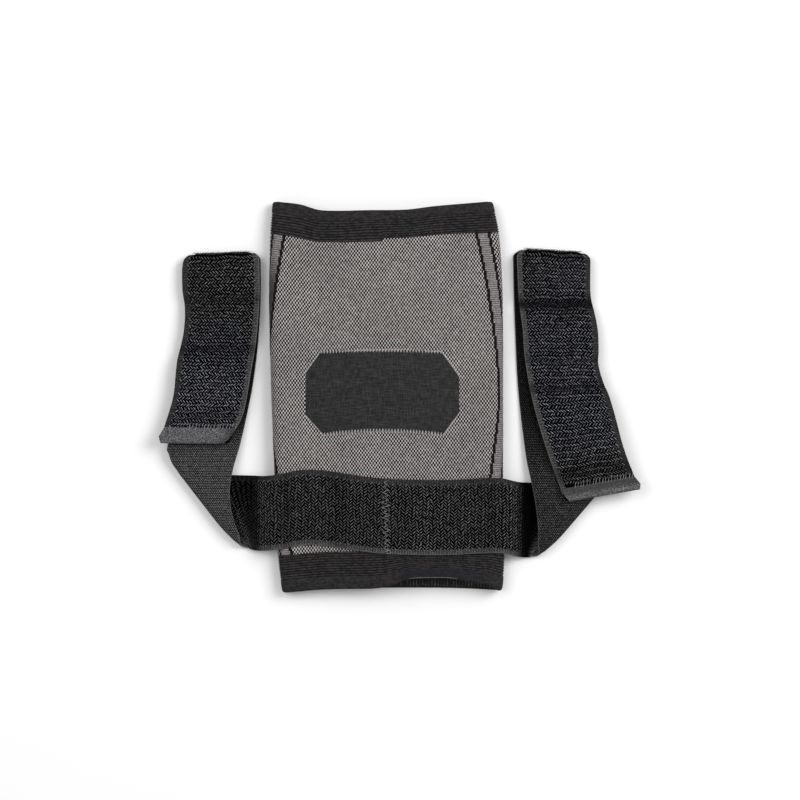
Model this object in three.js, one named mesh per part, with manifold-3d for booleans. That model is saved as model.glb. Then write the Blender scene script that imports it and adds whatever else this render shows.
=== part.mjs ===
// A knitted knee sleeve lying flat on a table with its wrap strap laid across it
// Millimetres, +X to the right, +Y toward the top cuff, +Z up off the table
import * as THREE from "three";
import { mergeVertices } from "three/addons/utils/BufferGeometryUtils.js";
import Module from "manifold-3d";

const wasm = await Module();
wasm.setup();

// Driving sizes of the knitted tube
const WALL = 2;
const GAP = 0.3;
const PANEL_SHIFT = -3;
const STRIPE_WIDTH = 6.6;
const EDGE_WIDTH = 2;
const BODY_STEPS = 14;

// Flattened tube sections, each with a flat underside, round side folds and a crowned top
const SECTIONS = [
  { y: -134, centre: 3.6, half: 74.4, fold: 5.5, crown: 3.5 },
  { y: -112, centre: 3, half: 76.7, fold: 6.2, crown: 4.2 },
  { y: -60, centre: 1.4, half: 77.6, fold: 7, crown: 5 },
  { y: 0, centre: 0.2, half: 78.8, fold: 7, crown: 5.5 },
  { y: 66, centre: -0.8, half: 79.4, fold: 7, crown: 5 },
  { y: 112, centre: -1.6, half: 77.6, fold: 6.2, crown: 4.2 },
  { y: 134, centre: -3, half: 74.4, fold: 5.5, crown: 3.5 },
];

// Half width of the front panel round the tube, widest at the knee
const PANEL = [
  { y: -106, half: 63.5 },
  { y: -50, half: 72.5 },
  { y: 0, half: 81 },
  { y: 66, half: 73 },
  { y: 112, half: 65 },
];

// Where each cuff begins and where its rim ends, across the tube
const TOP_EDGE = [
  { x: -76, rim: 132.7, border: 110.6 },
  { x: -60, rim: 130.8, border: 107.6 },
  { x: -45, rim: 126.8, border: 104.8 },
  { x: -10, rim: 126.8, border: 105.4 },
  { x: 15, rim: 127.2, border: 107.8 },
  { x: 35, rim: 129.6, border: 109.8 },
  { x: 72, rim: 132.7, border: 111.6 },
];
const BOTTOM_EDGE = [
  { x: -72, rim: -133, border: -107.6 },
  { x: -45, rim: -130.8, border: -105 },
  { x: -15, rim: -130.2, border: -104.2 },
  { x: 26, rim: -130, border: -103 },
  { x: 52, rim: -130.4, border: -102.5 },
  { x: 75, rim: -131.6, border: -102 },
];

// The front rim gapes at the lower right, drawn back and lifted over this reach
const GAPE = { x: 35, reach: 40, back: 8, rise: 6, from: -106, to: -128 };

// Ribs and smooth hem of each cuff
const TOP_CUFF = { hem: 8, ribs: 8, dip: 0.5 };
const BOTTOM_CUFF = { hem: 8, ribs: 10, dip: 0.5 };

// Octagonal knee panel with an arched lower edge
const KNEE = {
  left: -55.6, right: 49.5, top: 30.8, bottom: -26.1, arch: 2.8,
  topLeft: -45.2, topRight: 37.1, lowLeft: -43, lowRight: 37.7,
  sideTopLeft: 16, sideTopRight: 13.4, sideLowLeft: -12.2, sideLowRight: -10.4,
};

// Strap sizes and the line of its middle where it crosses the sleeve
const STRAP = { width: 51, thick: 1.8 };
const BAND = [
  { x: -100, y: -78 },
  { x: -86, y: -79.2 },
  { x: -75, y: -78.2 },
  { x: -57, y: -74.8 },
  { x: -40, y: -75.6 },
  { x: -5, y: -80.4 },
  { x: 40, y: -81.6 },
  { x: 76, y: -80.4 },
  { x: 90, y: -83.4 },
  { x: 98, y: -84 },
];

// Each end of the strap: corner roll, upright leg, top roll and the front layer, outward positive
const SIDES = {
  left: {
    out: -1, leave: 69, land: 90,
    corner: { x: 115.5, y: -78, angle: 49.8, roll: 3.4, slip: 10, bow: 6 },
    leg: [
      { y: -36, x: 125.4 },
      { y: -20, x: 121 },
      { y: 10, x: 116.2 },
      { y: 40, x: 113.2 },
      { y: 70, x: 110.6 },
      { y: 97, x: 110.4 },
    ],
    top: { y: 95, roll: 3, inset: 2 },
    front: [
      { y: -24.5, x: 128.2, turn: 4, lift: 2.2 },
      { y: -6, x: 122, turn: 3, lift: 2.2 },
      { y: 14, x: 118.6, turn: 1, lift: 2.6 },
      { y: 38, x: 114.6, turn: 0, lift: 1 },
      { y: 66, x: 112.3, turn: 0, lift: 3.4 },
      { y: 95, x: 112.4, turn: 0, lift: 3.8 },
    ],
    tab: { depth: 11, outer: 1.4, inner: 7 },
  },
  right: {
    out: 1, leave: 72.5, land: 95,
    corner: { x: 123.4, y: -83, angle: 47.6, roll: 3.4, slip: 8, bow: 1.5 },
    leg: [
      { y: -45, x: 120.8 },
      { y: -20, x: 116.8 },
      { y: 10, x: 113.4 },
      { y: 40, x: 111.9 },
      { y: 70, x: 111 },
      { y: 97, x: 110.4 },
    ],
    top: { y: 95, roll: 3, inset: 2 },
    front: [
      { y: -61.5, x: 144.2, turn: 11, lift: 2 },
      { y: -30, x: 133, turn: 8, lift: 2.2 },
      { y: 0, x: 124.2, turn: 3, lift: 3 },
      { y: 27, x: 119.2, turn: 0, lift: 1 },
      { y: 46, x: 117.8, turn: 0, lift: 3.2 },
      { y: 64, x: 115.4, turn: 0, lift: 1.2 },
      { y: 80, x: 114.4, turn: 0, lift: 3.4 },
      { y: 95, x: 113.8, turn: 0, lift: 3.8 },
    ],
    tab: { depth: 9.6, outer: 2.4, inner: 4.6 },
  },
};
const FALL_REACH = 90;
const TAB = { thick: 1, lap: 3.6 };

const { clamp, degToRad, lerp, smoothstep } = THREE.MathUtils;

// Smooth curve through one column of a table, read at a value of its key column
function read(rows, key, column, at) {
  const last = rows.length - 1;
  const place = clamp(at, rows[0][key], rows[last][key]);
  let low = 0;
  while (low < last - 1 && place > rows[low + 1][key]) low += 1;
  const slope = (row) => {
    const before = rows[Math.max(row - 1, 0)];
    const after = rows[Math.min(row + 1, last)];
    return (after[column] - before[column]) / (after[key] - before[key]);
  };
  const span = rows[low + 1][key] - rows[low][key];
  const t = (place - rows[low][key]) / span;
  const start = rows[low][column];
  const end = rows[low + 1][column];
  const push = span * (slope(low) * t * (1 - t) ** 2 - slope(low + 1) * t * t * (1 - t));
  return start + (end - start) * t * t * (3 - 2 * t) + push;
}

// Half way round the tube at one station
function halfRound(y) {
  const half = read(SECTIONS, "y", "half", y);
  const fold = read(SECTIONS, "y", "fold", y);
  return 2 * (half - fold) + Math.PI * fold;
}

// Share of the gape at a place across the mouth
function gapeShare(x) {
  return Math.max(0, 1 - ((x - GAPE.x) / GAPE.reach) ** 2);
}

// Point on the tube at a distance round from the top middle, sunk by a depth into the wall
function tubePoint(round, y, depth) {
  const centre = read(SECTIONS, "y", "centre", y);
  const fold = read(SECTIONS, "y", "fold", y);
  const crown = read(SECTIONS, "y", "crown", y);
  const flat = read(SECTIONS, "y", "half", y) - fold;
  const whole = 2 * halfRound(y);
  const wrapped = round - whole * Math.round(round / whole);
  const side = Math.sign(wrapped) || 1;
  const far = Math.abs(wrapped);
  let x = far;
  let z = 2 * fold + crown * Math.cos((Math.PI * Math.min(far / flat, 1)) / 2) ** 2;
  let turn = 0;
  if (far > flat + Math.PI * fold) {
    x = 2 * flat + Math.PI * fold - far;
    z = 0;
    turn = Math.PI;
  } else if (far > flat) {
    turn = (far - flat) / fold;
    x = flat + fold * Math.sin(turn);
    z = fold + fold * Math.cos(turn);
  }
  const across = centre + side * x;
  const rise = GAPE.rise * gapeShare(across) * smoothstep(-y, -GAPE.from, -GAPE.to);
  z += rise * clamp(z / (2 * fold), 0, 1);
  return new THREE.Vector3(across - side * depth * Math.sin(turn), y, z - depth * Math.cos(turn));
}

// Place across the tube of a point round it, near enough to read the cuff tables
function acrossAt(round, y) {
  return tubePoint(round, y, 0).x;
}

// Height of the tube's top surface
function topHeight(x, y) {
  return tubePoint(x - read(SECTIONS, "y", "centre", y), y, 0).z;
}

// Knitted body between the two cuffs, run 0 at the bottom border and 1 at the top border
function bodyPoint(roundAt, run, depth) {
  const x = acrossAt(roundAt(nominal(run)), nominal(run));
  const low = read(BOTTOM_EDGE, "x", "border", x) + GAP / 2;
  const high = read(TOP_EDGE, "x", "border", x) - GAP / 2;
  const y = lerp(low, high, run);
  return tubePoint(roundAt(y), y, depth);
}

// Closed sheet from a point function of two steps and a face, 0 outside and 1 inside
function sheet(point, across, along, ring = false) {
  const wide = ring ? across : across + 1;
  const positions = [];
  const index = [];
  for (let face = 0; face < 2; face += 1) {
    for (let j = 0; j <= along; j += 1) {
      for (let i = 0; i < wide; i += 1) positions.push(...point(i, j, face).toArray());
    }
  }
  const at = (i, j, face) => (face * (along + 1) + j) * wide + (i % wide);
  const quad = (a, b, c, d) => index.push(a, b, c, a, c, d);
  for (let i = 0; i < across; i += 1) {
    for (let j = 0; j < along; j += 1) {
      quad(at(i, j, 0), at(i + 1, j, 0), at(i + 1, j + 1, 0), at(i, j + 1, 0));
      quad(at(i, j, 1), at(i, j + 1, 1), at(i + 1, j + 1, 1), at(i + 1, j, 1));
    }
    quad(at(i, 0, 1), at(i + 1, 0, 1), at(i + 1, 0, 0), at(i, 0, 0));
    quad(at(i, along, 0), at(i + 1, along, 0), at(i + 1, along, 1), at(i, along, 1));
  }
  for (let j = 0; j < along && !ring; j += 1) {
    quad(at(0, j + 1, 0), at(0, j + 1, 1), at(0, j, 1), at(0, j, 0));
    quad(at(across, j, 1), at(across, j + 1, 1), at(across, j + 1, 0), at(across, j, 0));
  }
  const geometry = new THREE.BufferGeometry();
  geometry.setAttribute("position", new THREE.Float32BufferAttribute(positions, 3));
  geometry.setIndex(index);
  return geometry;
}

// Steps that close up toward both ends, where the side folds are
function crowd(t) {
  return 1.35 * t - 0.35 * t ** 3;
}

// Panel of the knitted body between two distances round the tube
function bodyPanel(from, to, across) {
  return sheet((i, j, face) => {
    const run = j / BODY_STEPS;
    const share = (1 + crowd((2 * i) / across - 1)) / 2;
    return bodyPoint((y) => lerp(from(run), to(run, y), share), run, face * WALL);
  }, across, BODY_STEPS);
}

const nominal = (run) => lerp(-105, 108, run);
const panelHalf = (run) => read(PANEL, "y", "half", nominal(run));
const bandStart = (run) => panelHalf(run);
const bandEnd = (run) => panelHalf(run) + STRIPE_WIDTH + 2 * EDGE_WIDTH;

// Strip of the stripe band on one side, between two distances out from the front panel
function bandStrip(out, near, far, across) {
  const reach = (distance) => (run) => PANEL_SHIFT + out * (bandStart(run) + distance);
  if (out > 0) return bodyPanel(reach(near), reach(far), across);
  return bodyPanel(reach(far), reach(near), across);
}

function frontSheet() {
  const left = (run) => PANEL_SHIFT - bandStart(run) + GAP / 2;
  const right = (run) => PANEL_SHIFT + bandStart(run) - GAP / 2;
  return bodyPanel(left, right, 20);
}

function backSheet() {
  const start = (run) => PANEL_SHIFT + bandEnd(run) + GAP / 2;
  const end = (run, y) => PANEL_SHIFT + 2 * halfRound(y) - bandEnd(run) - GAP / 2;
  return bodyPanel(start, end, 20);
}

// Ribbed cuff with a smooth hem, closed round the tube
function cuffRing(cuff, edges, mouth) {
  const cuffLength = 23;
  const ribEnd = 1 - cuff.hem / cuffLength;
  const rows = [];
  for (let rib = 0; rib < cuff.ribs; rib += 1) {
    rows.push({ at: (ribEnd * rib) / cuff.ribs, dip: cuff.dip, inset: 0 });
    rows.push({ at: (ribEnd * (rib + 0.5)) / cuff.ribs, dip: 0, inset: 0 });
  }
  rows.push({ at: ribEnd, dip: cuff.dip, inset: 0 });
  rows.push({ at: ribEnd + 0.05, dip: 0, inset: 0 });
  rows.push({ at: 0.95, dip: 0, inset: 0 });
  rows.push({ at: 1, dip: 0.6, inset: 0.6 });
  const around = 28;
  const point = (i, j, face) => {
    const row = rows[j];
    const y = edges[3].border;
    const round = ringStep(i / around, y);
    const x = acrossAt(round, y);
    const border = read(edges, "x", "border", x) + (mouth * GAP) / 2;
    const front = Math.cos(clamp((Math.PI * round) / halfRound(y), -Math.PI, Math.PI)) > 0;
    const drawn = mouth < 0 && front ? GAPE.back * gapeShare(x) : 0;
    const rim = read(edges, "x", "rim", x) + drawn;
    const station = lerp(border, rim, row.at);
    const share = round / halfRound(y);
    return tubePoint(share * halfRound(station), station, face ? WALL - row.inset : row.dip);
  };
  const count = rows.length - 1;
  if (mouth > 0) return sheet(point, around, count, true);
  return sheet((i, j, face) => point(i, count - j, face), around, count, true);
}

// Steps round the whole tube, finer at the two side folds
function ringStep(share, y) {
  const half = halfRound(y);
  const fold = read(SECTIONS, "y", "fold", y);
  const flat = (half - Math.PI * fold) / 2;
  const stops = [-half, -half + flat, -flat, flat, half - flat, half];
  const shares = [0, 3, 8, 20, 25, 28].map((step) => step / 28);
  let low = 0;
  while (low < stops.length - 2 && share > shares[low + 1]) low += 1;
  const t = (share - shares[low]) / (shares[low + 1] - shares[low]);
  return lerp(stops[low], stops[low + 1], t);
}

// Upright prism over the knee panel's outline, grown by a margin
function kneePrism(margin) {
  const k = KNEE;
  const outline = new THREE.Shape();
  outline.moveTo(k.lowLeft - margin / 2, k.bottom - margin);
  const middle = (k.lowLeft + k.lowRight) / 2;
  const control = k.bottom - margin + 2 * k.arch;
  outline.quadraticCurveTo(middle, control, k.lowRight + margin / 2, k.bottom - margin);
  outline.lineTo(k.right + margin, k.sideLowRight - margin / 2);
  outline.lineTo(k.right + margin, k.sideTopRight + margin / 2);
  outline.lineTo(k.topRight + margin / 2, k.top + margin);
  outline.lineTo(k.topLeft - margin / 2, k.top + margin);
  outline.lineTo(k.left - margin, k.sideTopLeft + margin / 2);
  outline.lineTo(k.left - margin, k.sideLowLeft - margin / 2);
  outline.closePath();
  const prism = new THREE.ExtrudeGeometry(outline, { depth: 22, bevelEnabled: false, curveSegments: 8 });
  return prism.translate(0, 0, 9);
}

function toManifold(geometry) {
  const bare = new THREE.BufferGeometry();
  bare.setAttribute("position", geometry.getAttribute("position").clone());
  if (geometry.index) bare.setIndex(geometry.index.clone());
  const merged = mergeVertices(bare, 1e-4);
  return new wasm.Manifold(new wasm.Mesh({
    numProp: 3,
    vertProperties: Float32Array.from(merged.getAttribute("position").array),
    triVerts: Uint32Array.from(merged.index.array),
  }));
}

function fromManifold(solid) {
  const mesh = solid.getMesh();
  const geometry = new THREE.BufferGeometry();
  geometry.setAttribute("position", new THREE.Float32BufferAttribute(mesh.vertProperties, 3));
  geometry.setIndex(Array.from(mesh.triVerts));
  return geometry;
}

// One line across the strap, from its lower edge to its upper edge
const line = (low, high) => ({ low, high });
const blendLine = (a, b, t) => line(a.low.clone().lerp(b.low, t), a.high.clone().lerp(b.high, t));
const point = (x, y, z) => new THREE.Vector3(x, y, z);

// Lines of the half of the strap on one side, from the middle seam out to its end, outward positive
function strapLines(side) {
  const { out, leave, land, corner, leg, top, front } = side;
  const half = STRAP.width / 2;
  const rest = STRAP.thick / 2;
  const angle = degToRad(corner.angle);
  const ways = point(Math.cos(angle), Math.sin(angle), 0);
  const outward = point(Math.sin(angle), -Math.cos(angle), 0);
  const lines = [];

  const seat = (x, y) => topHeight(out * Math.min(x, leave), y) + rest + 0.4;
  const bandLine = (x) => {
    const middle = read(BAND, "x", "y", out * x);
    const down = smoothstep(x, leave, land + 8);
    const ends = [middle - half, middle + half].map((y) => point(x, y, lerp(seat(x, y), rest + 0.8, down)));
    return line(...ends);
  };
  const bandSteps = 17;
  for (let k = 0; k <= bandSteps; k += 1) lines.push(bandLine((land * k) / bandSteps));

  const cornerAt = (w) => point(corner.x + w / Math.tan(angle), corner.y + w, rest + 0.1);
  const rollStart = line(cornerAt(-half), cornerAt(half));
  rollStart.low.z += 0.9;
  for (const t of [0.3, 0.65, 1]) lines.push(blendLine(bandLine(land), rollStart, t));

  const rollSteps = 6;
  for (let k = 1; k <= rollSteps; k += 1) {
    const turn = (Math.PI * k) / rollSteps;
    const shift = ways.clone().multiplyScalar((corner.slip * k) / rollSteps);
    shift.addScaledVector(outward, corner.roll * Math.sin(turn));
    shift.z = corner.roll * (1 - Math.cos(turn));
    lines.push(line(rollStart.low.clone().add(shift), rollStart.high.clone().add(shift)));
  }
  const rollEnd = lines[lines.length - 1];

  const legHeight = (x, y) => {
    const away = -outward.x * (x - rollEnd.low.x) - outward.y * (y - rollEnd.low.y);
    return lerp(rollEnd.high.z, rest, smoothstep(away, 0, FALL_REACH));
  };
  const legLine = (y) => {
    const x = read(leg, "y", "x", y);
    return line(point(x - half, y, legHeight(x - half, y)), point(x + half, y, legHeight(x + half, y)));
  };
  const legStart = leg[0].y;
  for (const t of [0.25, 0.5, 0.75, 1]) {
    const fan = blendLine(rollEnd, legLine(legStart), t);
    fan.low.x += corner.bow * Math.sin(Math.PI * t);
    fan.low.z = lerp(rollEnd.low.z, legHeight(fan.low.x, fan.low.y), t);
    lines.push(fan);
  }
  const legSteps = 9;
  for (let k = 1; k <= legSteps; k += 1) lines.push(legLine(lerp(legStart, top.y, k / legSteps)));

  const frontLine = (y) => {
    const x = read(front, "y", "x", y);
    const turn = degToRad(read(front, "y", "turn", y));
    const lift = read(front, "y", "lift", y) + STRAP.thick + 0.4;
    const reach = point(half * Math.cos(turn), half * Math.sin(turn), 0);
    const low = point(x, y, 0).sub(reach);
    const high = point(x, y, 0).add(reach);
    low.z = legHeight(low.x, low.y) + lift;
    high.z = legHeight(high.x, high.y) + lift;
    return line(low, high);
  };
  const over = frontLine(top.y);
  const under = lines[lines.length - 1];
  for (let k = 1; k <= rollSteps; k += 1) {
    const turn = (Math.PI * k) / rollSteps;
    const wrap = blendLine(under, over, (1 - Math.cos(turn)) / 2);
    wrap.low.add(point(top.inset * Math.sin(turn), top.roll * Math.sin(turn), 0));
    wrap.high.add(point(-top.inset * Math.sin(turn), top.roll * Math.sin(turn), 0));
    lines.push(wrap);
  }
  const frontSteps = 22;
  for (let k = 1; k <= frontSteps; k += 1) lines.push(frontLine(lerp(top.y, front[0].y, k / frontSteps)));

  const place = (v) => point(out * v.x, v.y, v.z);
  return lines.map(({ low, high }) => line(place(low), place(high)));
}

// Strap solid, its middle surface thickened both ways along its own normals
function strapSheet() {
  const left = strapLines(SIDES.left).reverse();
  const right = strapLines(SIDES.right).slice(1);
  const lines = [...left, ...right];
  const across = 3;
  const middle = (i, j) => {
    const at = lines[clamp(i, 0, lines.length - 1)];
    return at.low.clone().lerp(at.high, clamp(j, 0, across) / across);
  };
  return sheet((i, j, face) => {
    const run = middle(i + 1, j).sub(middle(i - 1, j)).normalize();
    const wide = middle(i, j + 1).sub(middle(i, j - 1));
    const normal = run.cross(wide).normalize();
    return middle(i, j).addScaledVector(normal, (0.5 - face) * STRAP.thick);
  }, lines.length - 1, across);
}

// Tape folded round a strap end, open at both sides of the fold
function tabSheet(side) {
  const lines = strapLines(side);
  const end = lines[lines.length - 1];
  const wide = end.high.clone().sub(end.low);
  const width = wide.length();
  const along = wide.clone().divideScalar(width);
  if (side.out < 0) along.negate();
  const down = point(along.y, -along.x, 0).normalize();
  const up = along.clone().cross(down).negate();
  const origin = end.low.clone().add(end.high).divideScalar(2);
  const clear = STRAP.thick / 2 + GAP;
  const nose = side.tab.depth - TAB.lap - clear - TAB.thick;
  const flatSteps = 3;
  const roundSteps = 6;
  const count = 2 * flatSteps + roundSteps;
  const profile = (j, offset) => {
    const radius = clear + offset;
    if (j <= flatSteps) return { run: lerp(-TAB.lap, nose, j / flatSteps), rise: radius };
    if (j >= flatSteps + roundSteps) {
      return { run: lerp(nose, -TAB.lap, (j - flatSteps - roundSteps) / flatSteps), rise: -radius };
    }
    const turn = (Math.PI * (j - flatSteps)) / roundSteps;
    return { run: nose + radius * Math.sin(turn), rise: radius * Math.cos(turn) };
  };
  const across = 3;
  return sheet((i, j, face) => {
    const { run, rise } = profile(j, face ? 0 : TAB.thick);
    const share = clamp((run + TAB.lap) / side.tab.depth, 0, 1);
    const innerEnd = -width / 2 + side.tab.inner * share * share;
    const outerEnd = width / 2 + side.tab.outer * Math.sin(Math.PI * share * 0.8);
    const span = side.out > 0 ? [innerEnd, outerEnd] : [-outerEnd, -innerEnd];
    const at = origin.clone().addScaledVector(along, lerp(span[1], span[0], i / across));
    return at.addScaledVector(down, run).addScaledVector(up, rise);
  }, across, count);
}

const MATERIALS = {
  mesh_knit: { color: "#8f8b89", roughness: 0.85, metalness: 0 },
  panel_knit: { color: "#343535", roughness: 0.85, metalness: 0 },
  stripe_knit: { color: "#7d7a78", roughness: 0.85, metalness: 0 },
  edge_knit: { color: "#1d1b1c", roughness: 0.85, metalness: 0 },
  cuff_knit: { color: "#2a2627", roughness: 0.8, metalness: 0 },
  strap_elastic: { color: "#191a1c", roughness: 0.9, metalness: 0 },
  tab_fabric: { color: "#5c5d61", roughness: 0.9, metalness: 0 },
};

const group = new THREE.Group();
function add(name, slot, geometry) {
  const mesh = new THREE.Mesh(geometry, new THREE.MeshStandardMaterial({ ...MATERIALS[slot], name: slot }));
  mesh.name = name;
  group.add(mesh);
}

const front = toManifold(frontSheet());
add("front_panel", "mesh_knit", fromManifold(front.subtract(toManifold(kneePrism(GAP / 2)))));
add("knee_panel", "panel_knit", fromManifold(front.intersect(toManifold(kneePrism(-GAP / 2)))));
add("back_panel", "mesh_knit", backSheet());
for (const [name, out] of [["left", -1], ["right", 1]]) {
  const first = EDGE_WIDTH;
  const second = EDGE_WIDTH + STRIPE_WIDTH;
  const whole = second + EDGE_WIDTH;
  add(`side_stripe_${name}`, "stripe_knit", bandStrip(out, first + GAP / 2, second - GAP / 2, 5));
  add(`stripe_edge_${name}_front`, "edge_knit", bandStrip(out, GAP / 2, first - GAP / 2, 2));
  add(`stripe_edge_${name}_back`, "edge_knit", bandStrip(out, second + GAP / 2, whole - GAP / 2, 2));
}
add("top_cuff", "cuff_knit", cuffRing(TOP_CUFF, TOP_EDGE, 1));
add("bottom_cuff", "cuff_knit", cuffRing(BOTTOM_CUFF, BOTTOM_EDGE, -1));
add("strap", "strap_elastic", strapSheet());
add("strap_tab_left", "tab_fabric", tabSheet(SIDES.left));
add("strap_tab_right", "tab_fabric", tabSheet(SIDES.right));

export default group;
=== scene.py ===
import math

import bpy
import numpy as np
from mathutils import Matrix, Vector


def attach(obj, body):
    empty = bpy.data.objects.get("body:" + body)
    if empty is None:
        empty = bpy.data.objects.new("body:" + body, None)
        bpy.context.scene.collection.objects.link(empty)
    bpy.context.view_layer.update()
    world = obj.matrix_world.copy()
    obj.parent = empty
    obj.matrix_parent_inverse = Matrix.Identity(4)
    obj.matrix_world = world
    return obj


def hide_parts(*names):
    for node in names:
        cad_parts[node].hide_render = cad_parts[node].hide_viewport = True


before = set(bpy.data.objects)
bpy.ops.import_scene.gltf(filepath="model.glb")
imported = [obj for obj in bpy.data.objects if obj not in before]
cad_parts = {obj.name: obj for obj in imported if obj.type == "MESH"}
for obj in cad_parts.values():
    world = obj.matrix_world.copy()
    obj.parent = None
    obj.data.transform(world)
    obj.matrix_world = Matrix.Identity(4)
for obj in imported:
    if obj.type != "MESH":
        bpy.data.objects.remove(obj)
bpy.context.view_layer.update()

MM = 0.001
rng = np.random.default_rng(7)
FLOOR_CLEAR = 0.05
THREAD_SIDES = 4


def table(names, *rows):
    """Columns by name; the first column is the one that the others are read along."""
    return {name: np.array(column, float) for name, column in zip(names.split(), zip(*rows))}


# Sizes of the knitted tube
PANEL_SHIFT = -3
WALL = 2
BODY_LOW, BODY_HIGH = -105, 108
SECTIONS = table(
    "y centre half fold crown",
    (-134, 3.6, 74.4, 5.5, 3.5),
    (-112, 3, 76.7, 6.2, 4.2),
    (-60, 1.4, 77.6, 7, 5),
    (0, 0.2, 78.8, 7, 5.5),
    (66, -0.8, 79.4, 7, 5),
    (112, -1.6, 77.6, 6.2, 4.2),
    (134, -3, 74.4, 5.5, 3.5),
)
PANEL = table(
    "y half slip",
    (-106, 63.5, 0),
    (-50, 72.5, 0.5),
    (0, 81, 2.9),
    (66, 71.8, 0),
    (112, 63.6, 0),
)
TOP_EDGE = table(
    "x rim border",
    (-76, 132.7, 110.6),
    (-60, 130.8, 107.6),
    (-45, 126.8, 104.8),
    (-10, 126.8, 106.9),
    (15, 127.2, 107.8),
    (35, 129.6, 109.8),
    (72, 132.7, 111.6),
)
BOTTOM_EDGE = table(
    "x rim border",
    (-72, -133, -107.6),
    (-45, -130.8, -105),
    (-15, -130.2, -104.2),
    (26, -130, -103),
    (52, -130.4, -102.5),
    (75, -131.6, -102),
)
GAPE = table(
    "x back",
    (-12, 0),
    (-2, 1.2),
    (6.8, 3.9),
    (13.6, 6.4),
    (20, 7.4),
    (44, 7.4),
    (51, 6),
    (62, 4.8),
    (70, 3.8),
    (75, 1),
    (78, 0),
)
GAPE_BACK, GAPE_RISE = 7.4, 6
GAPE_FROM, GAPE_TO = 106, 128

# Knit of the body: a dark eyelet at every crossing of this repeat and at its middle
WALE = 2.08
CELLS = 4
BODY_ROWS = 292
TUCK_ROWS, TUCK_DEPTH = 4, 1.3
EYELET_DEPTH, RIB_RELIEF, EDGE_SUNK = 0.36, 0.3, 0.12
STEP_COLUMNS, EDGE_COLUMNS, STRIPE_COLUMNS = 2, 4, 12
SPARE_COLUMNS, BACK_LAP_COLUMNS = 4, 3

# Sizes of the octagonal knee panel
KNEE_OUTLINE = table(
    "x y",
    (-43, -26.1),
    (37.7, -26.1),
    (49.5, -10.4),
    (49.5, 13.4),
    (37.1, 30.8),
    (-45.2, 30.8),
    (-55.6, 16),
    (-55.6, -12.2),
)
KNEE_ARCH, KNEE_CROWN = 2.8, 1.0
KNEE_TALL, KNEE_LAP = 57, 1.2
KNEE_WALE, KNEE_COURSE = 1.4, 1.0
KNEE_TICKS = {
    "upper": {"span": (-44.6, 37), "tall": 2.3, "shift": -0.35},
    "lower": {"span": (-42.4, 37.2), "tall": 3.0, "shift": 0.45},
}

# Sizes of the strap
STRAP_WIDTH, STRAP_THICK = 51, 1.8
SELVEDGE_IN, SELVEDGE_OUT = 3.9, 4.3
STATION = 0.9
WEAVE_LONG, WEAVE_WIDE, WEAVE_ROW = 2.28, 1.44, 1.66
STRAP_MAP = 10
BAND = table(
    "x y",
    (-100, -78),
    (-86, -79.2),
    (-75, -78.2),
    (-57, -74.8),
    (-40, -75.6),
    (-5, -80.4),
    (40, -81.6),
    (76, -80.4),
    (90, -83.4),
    (98, -84),
)
# Painted shade along the band where it bends away: place across, reach and strength; a negative strength
# is a painted highlight.
BAND_SHADE = table(
    "x wide deep",
    (-109, 6, 0.55),
    (-93, 8.5, 0.78),
    (-68, 4, 0.25),
    (-33, 8, 0.2),
    (26, 9, -0.12),
    (66, 6, 0.15),
    (81, 5, -0.15),
    (96.8, 10.5, 0.99),
)
FALL_REACH = 90
ROLL_LINES, PAST_FOLD = 18, 20
LEFT = {
    "out": -1,
    "leave": 69,
    "land": 90,
    "drop": (75, 95),
    "corner": {
        "x": 115.5,
        "y": -78,
        "angle": 49.8,
        "roll": (5.4, 3.2),
        "slip": (11, 17),
        "bow": 6,
        "round": 3,
    },
    "leg": table(
        "y x inner",
        (-36, 124.4, 2),
        (-20, 121, 1.6),
        (10, 116.2, 0.6),
        (40, 113.2, 0),
        (70, 110.6, 1),
        (97, 110.4, 1.4),
    ),
    "top": {"y": 95.4, "roll": 2.4, "inset": (3.5, 2.5), "tilt": 1.6},
    "front": table(
        "y x turn lift",
        (-24.5, 126.8, 1.2, 2.2),
        (-6, 122, 1.2, 2.4),
        (14, 118.6, 0.6, 2.8),
        (38, 114.6, 0, 2.8),
        (66, 112.3, 0, 3.4),
        (95, 112.4, 0, 3.8),
    ),
    "edge": table(
        "y outer inner",
        (-24.5, 0, 4),
        (-15, -0.3, 0.6),
        (2, -1.2, 0),
        (26, 0.4, 0),
        (44, -1.1, 0),
        (60, -0.6, 0),
        (72, 1.4, 0),
        (88, 1.6, 0),
        (96, 0.4, 0),
    ),
    # Creases across the front layer: place, depth and width; they are pressed into its shape and also get
    # painted shade.
    "creases": table("y depth wide", (66, 1.2, 4), (32, 1.6, 4), (-13, 0.8, 4)),
    # Painted highlight on the front layer: place, reach and strength.
    "gleam": (3, 22, 0.5),
    "tab": {
        "depth": 11,
        "outer": 2.6,
        "inset": 2.5,
        "inner": 11,
        "under": 6.5,
        "band": 0.1,
        "curl": 1.6,
        "ticks": (-24, 9),
    },
}
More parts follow.
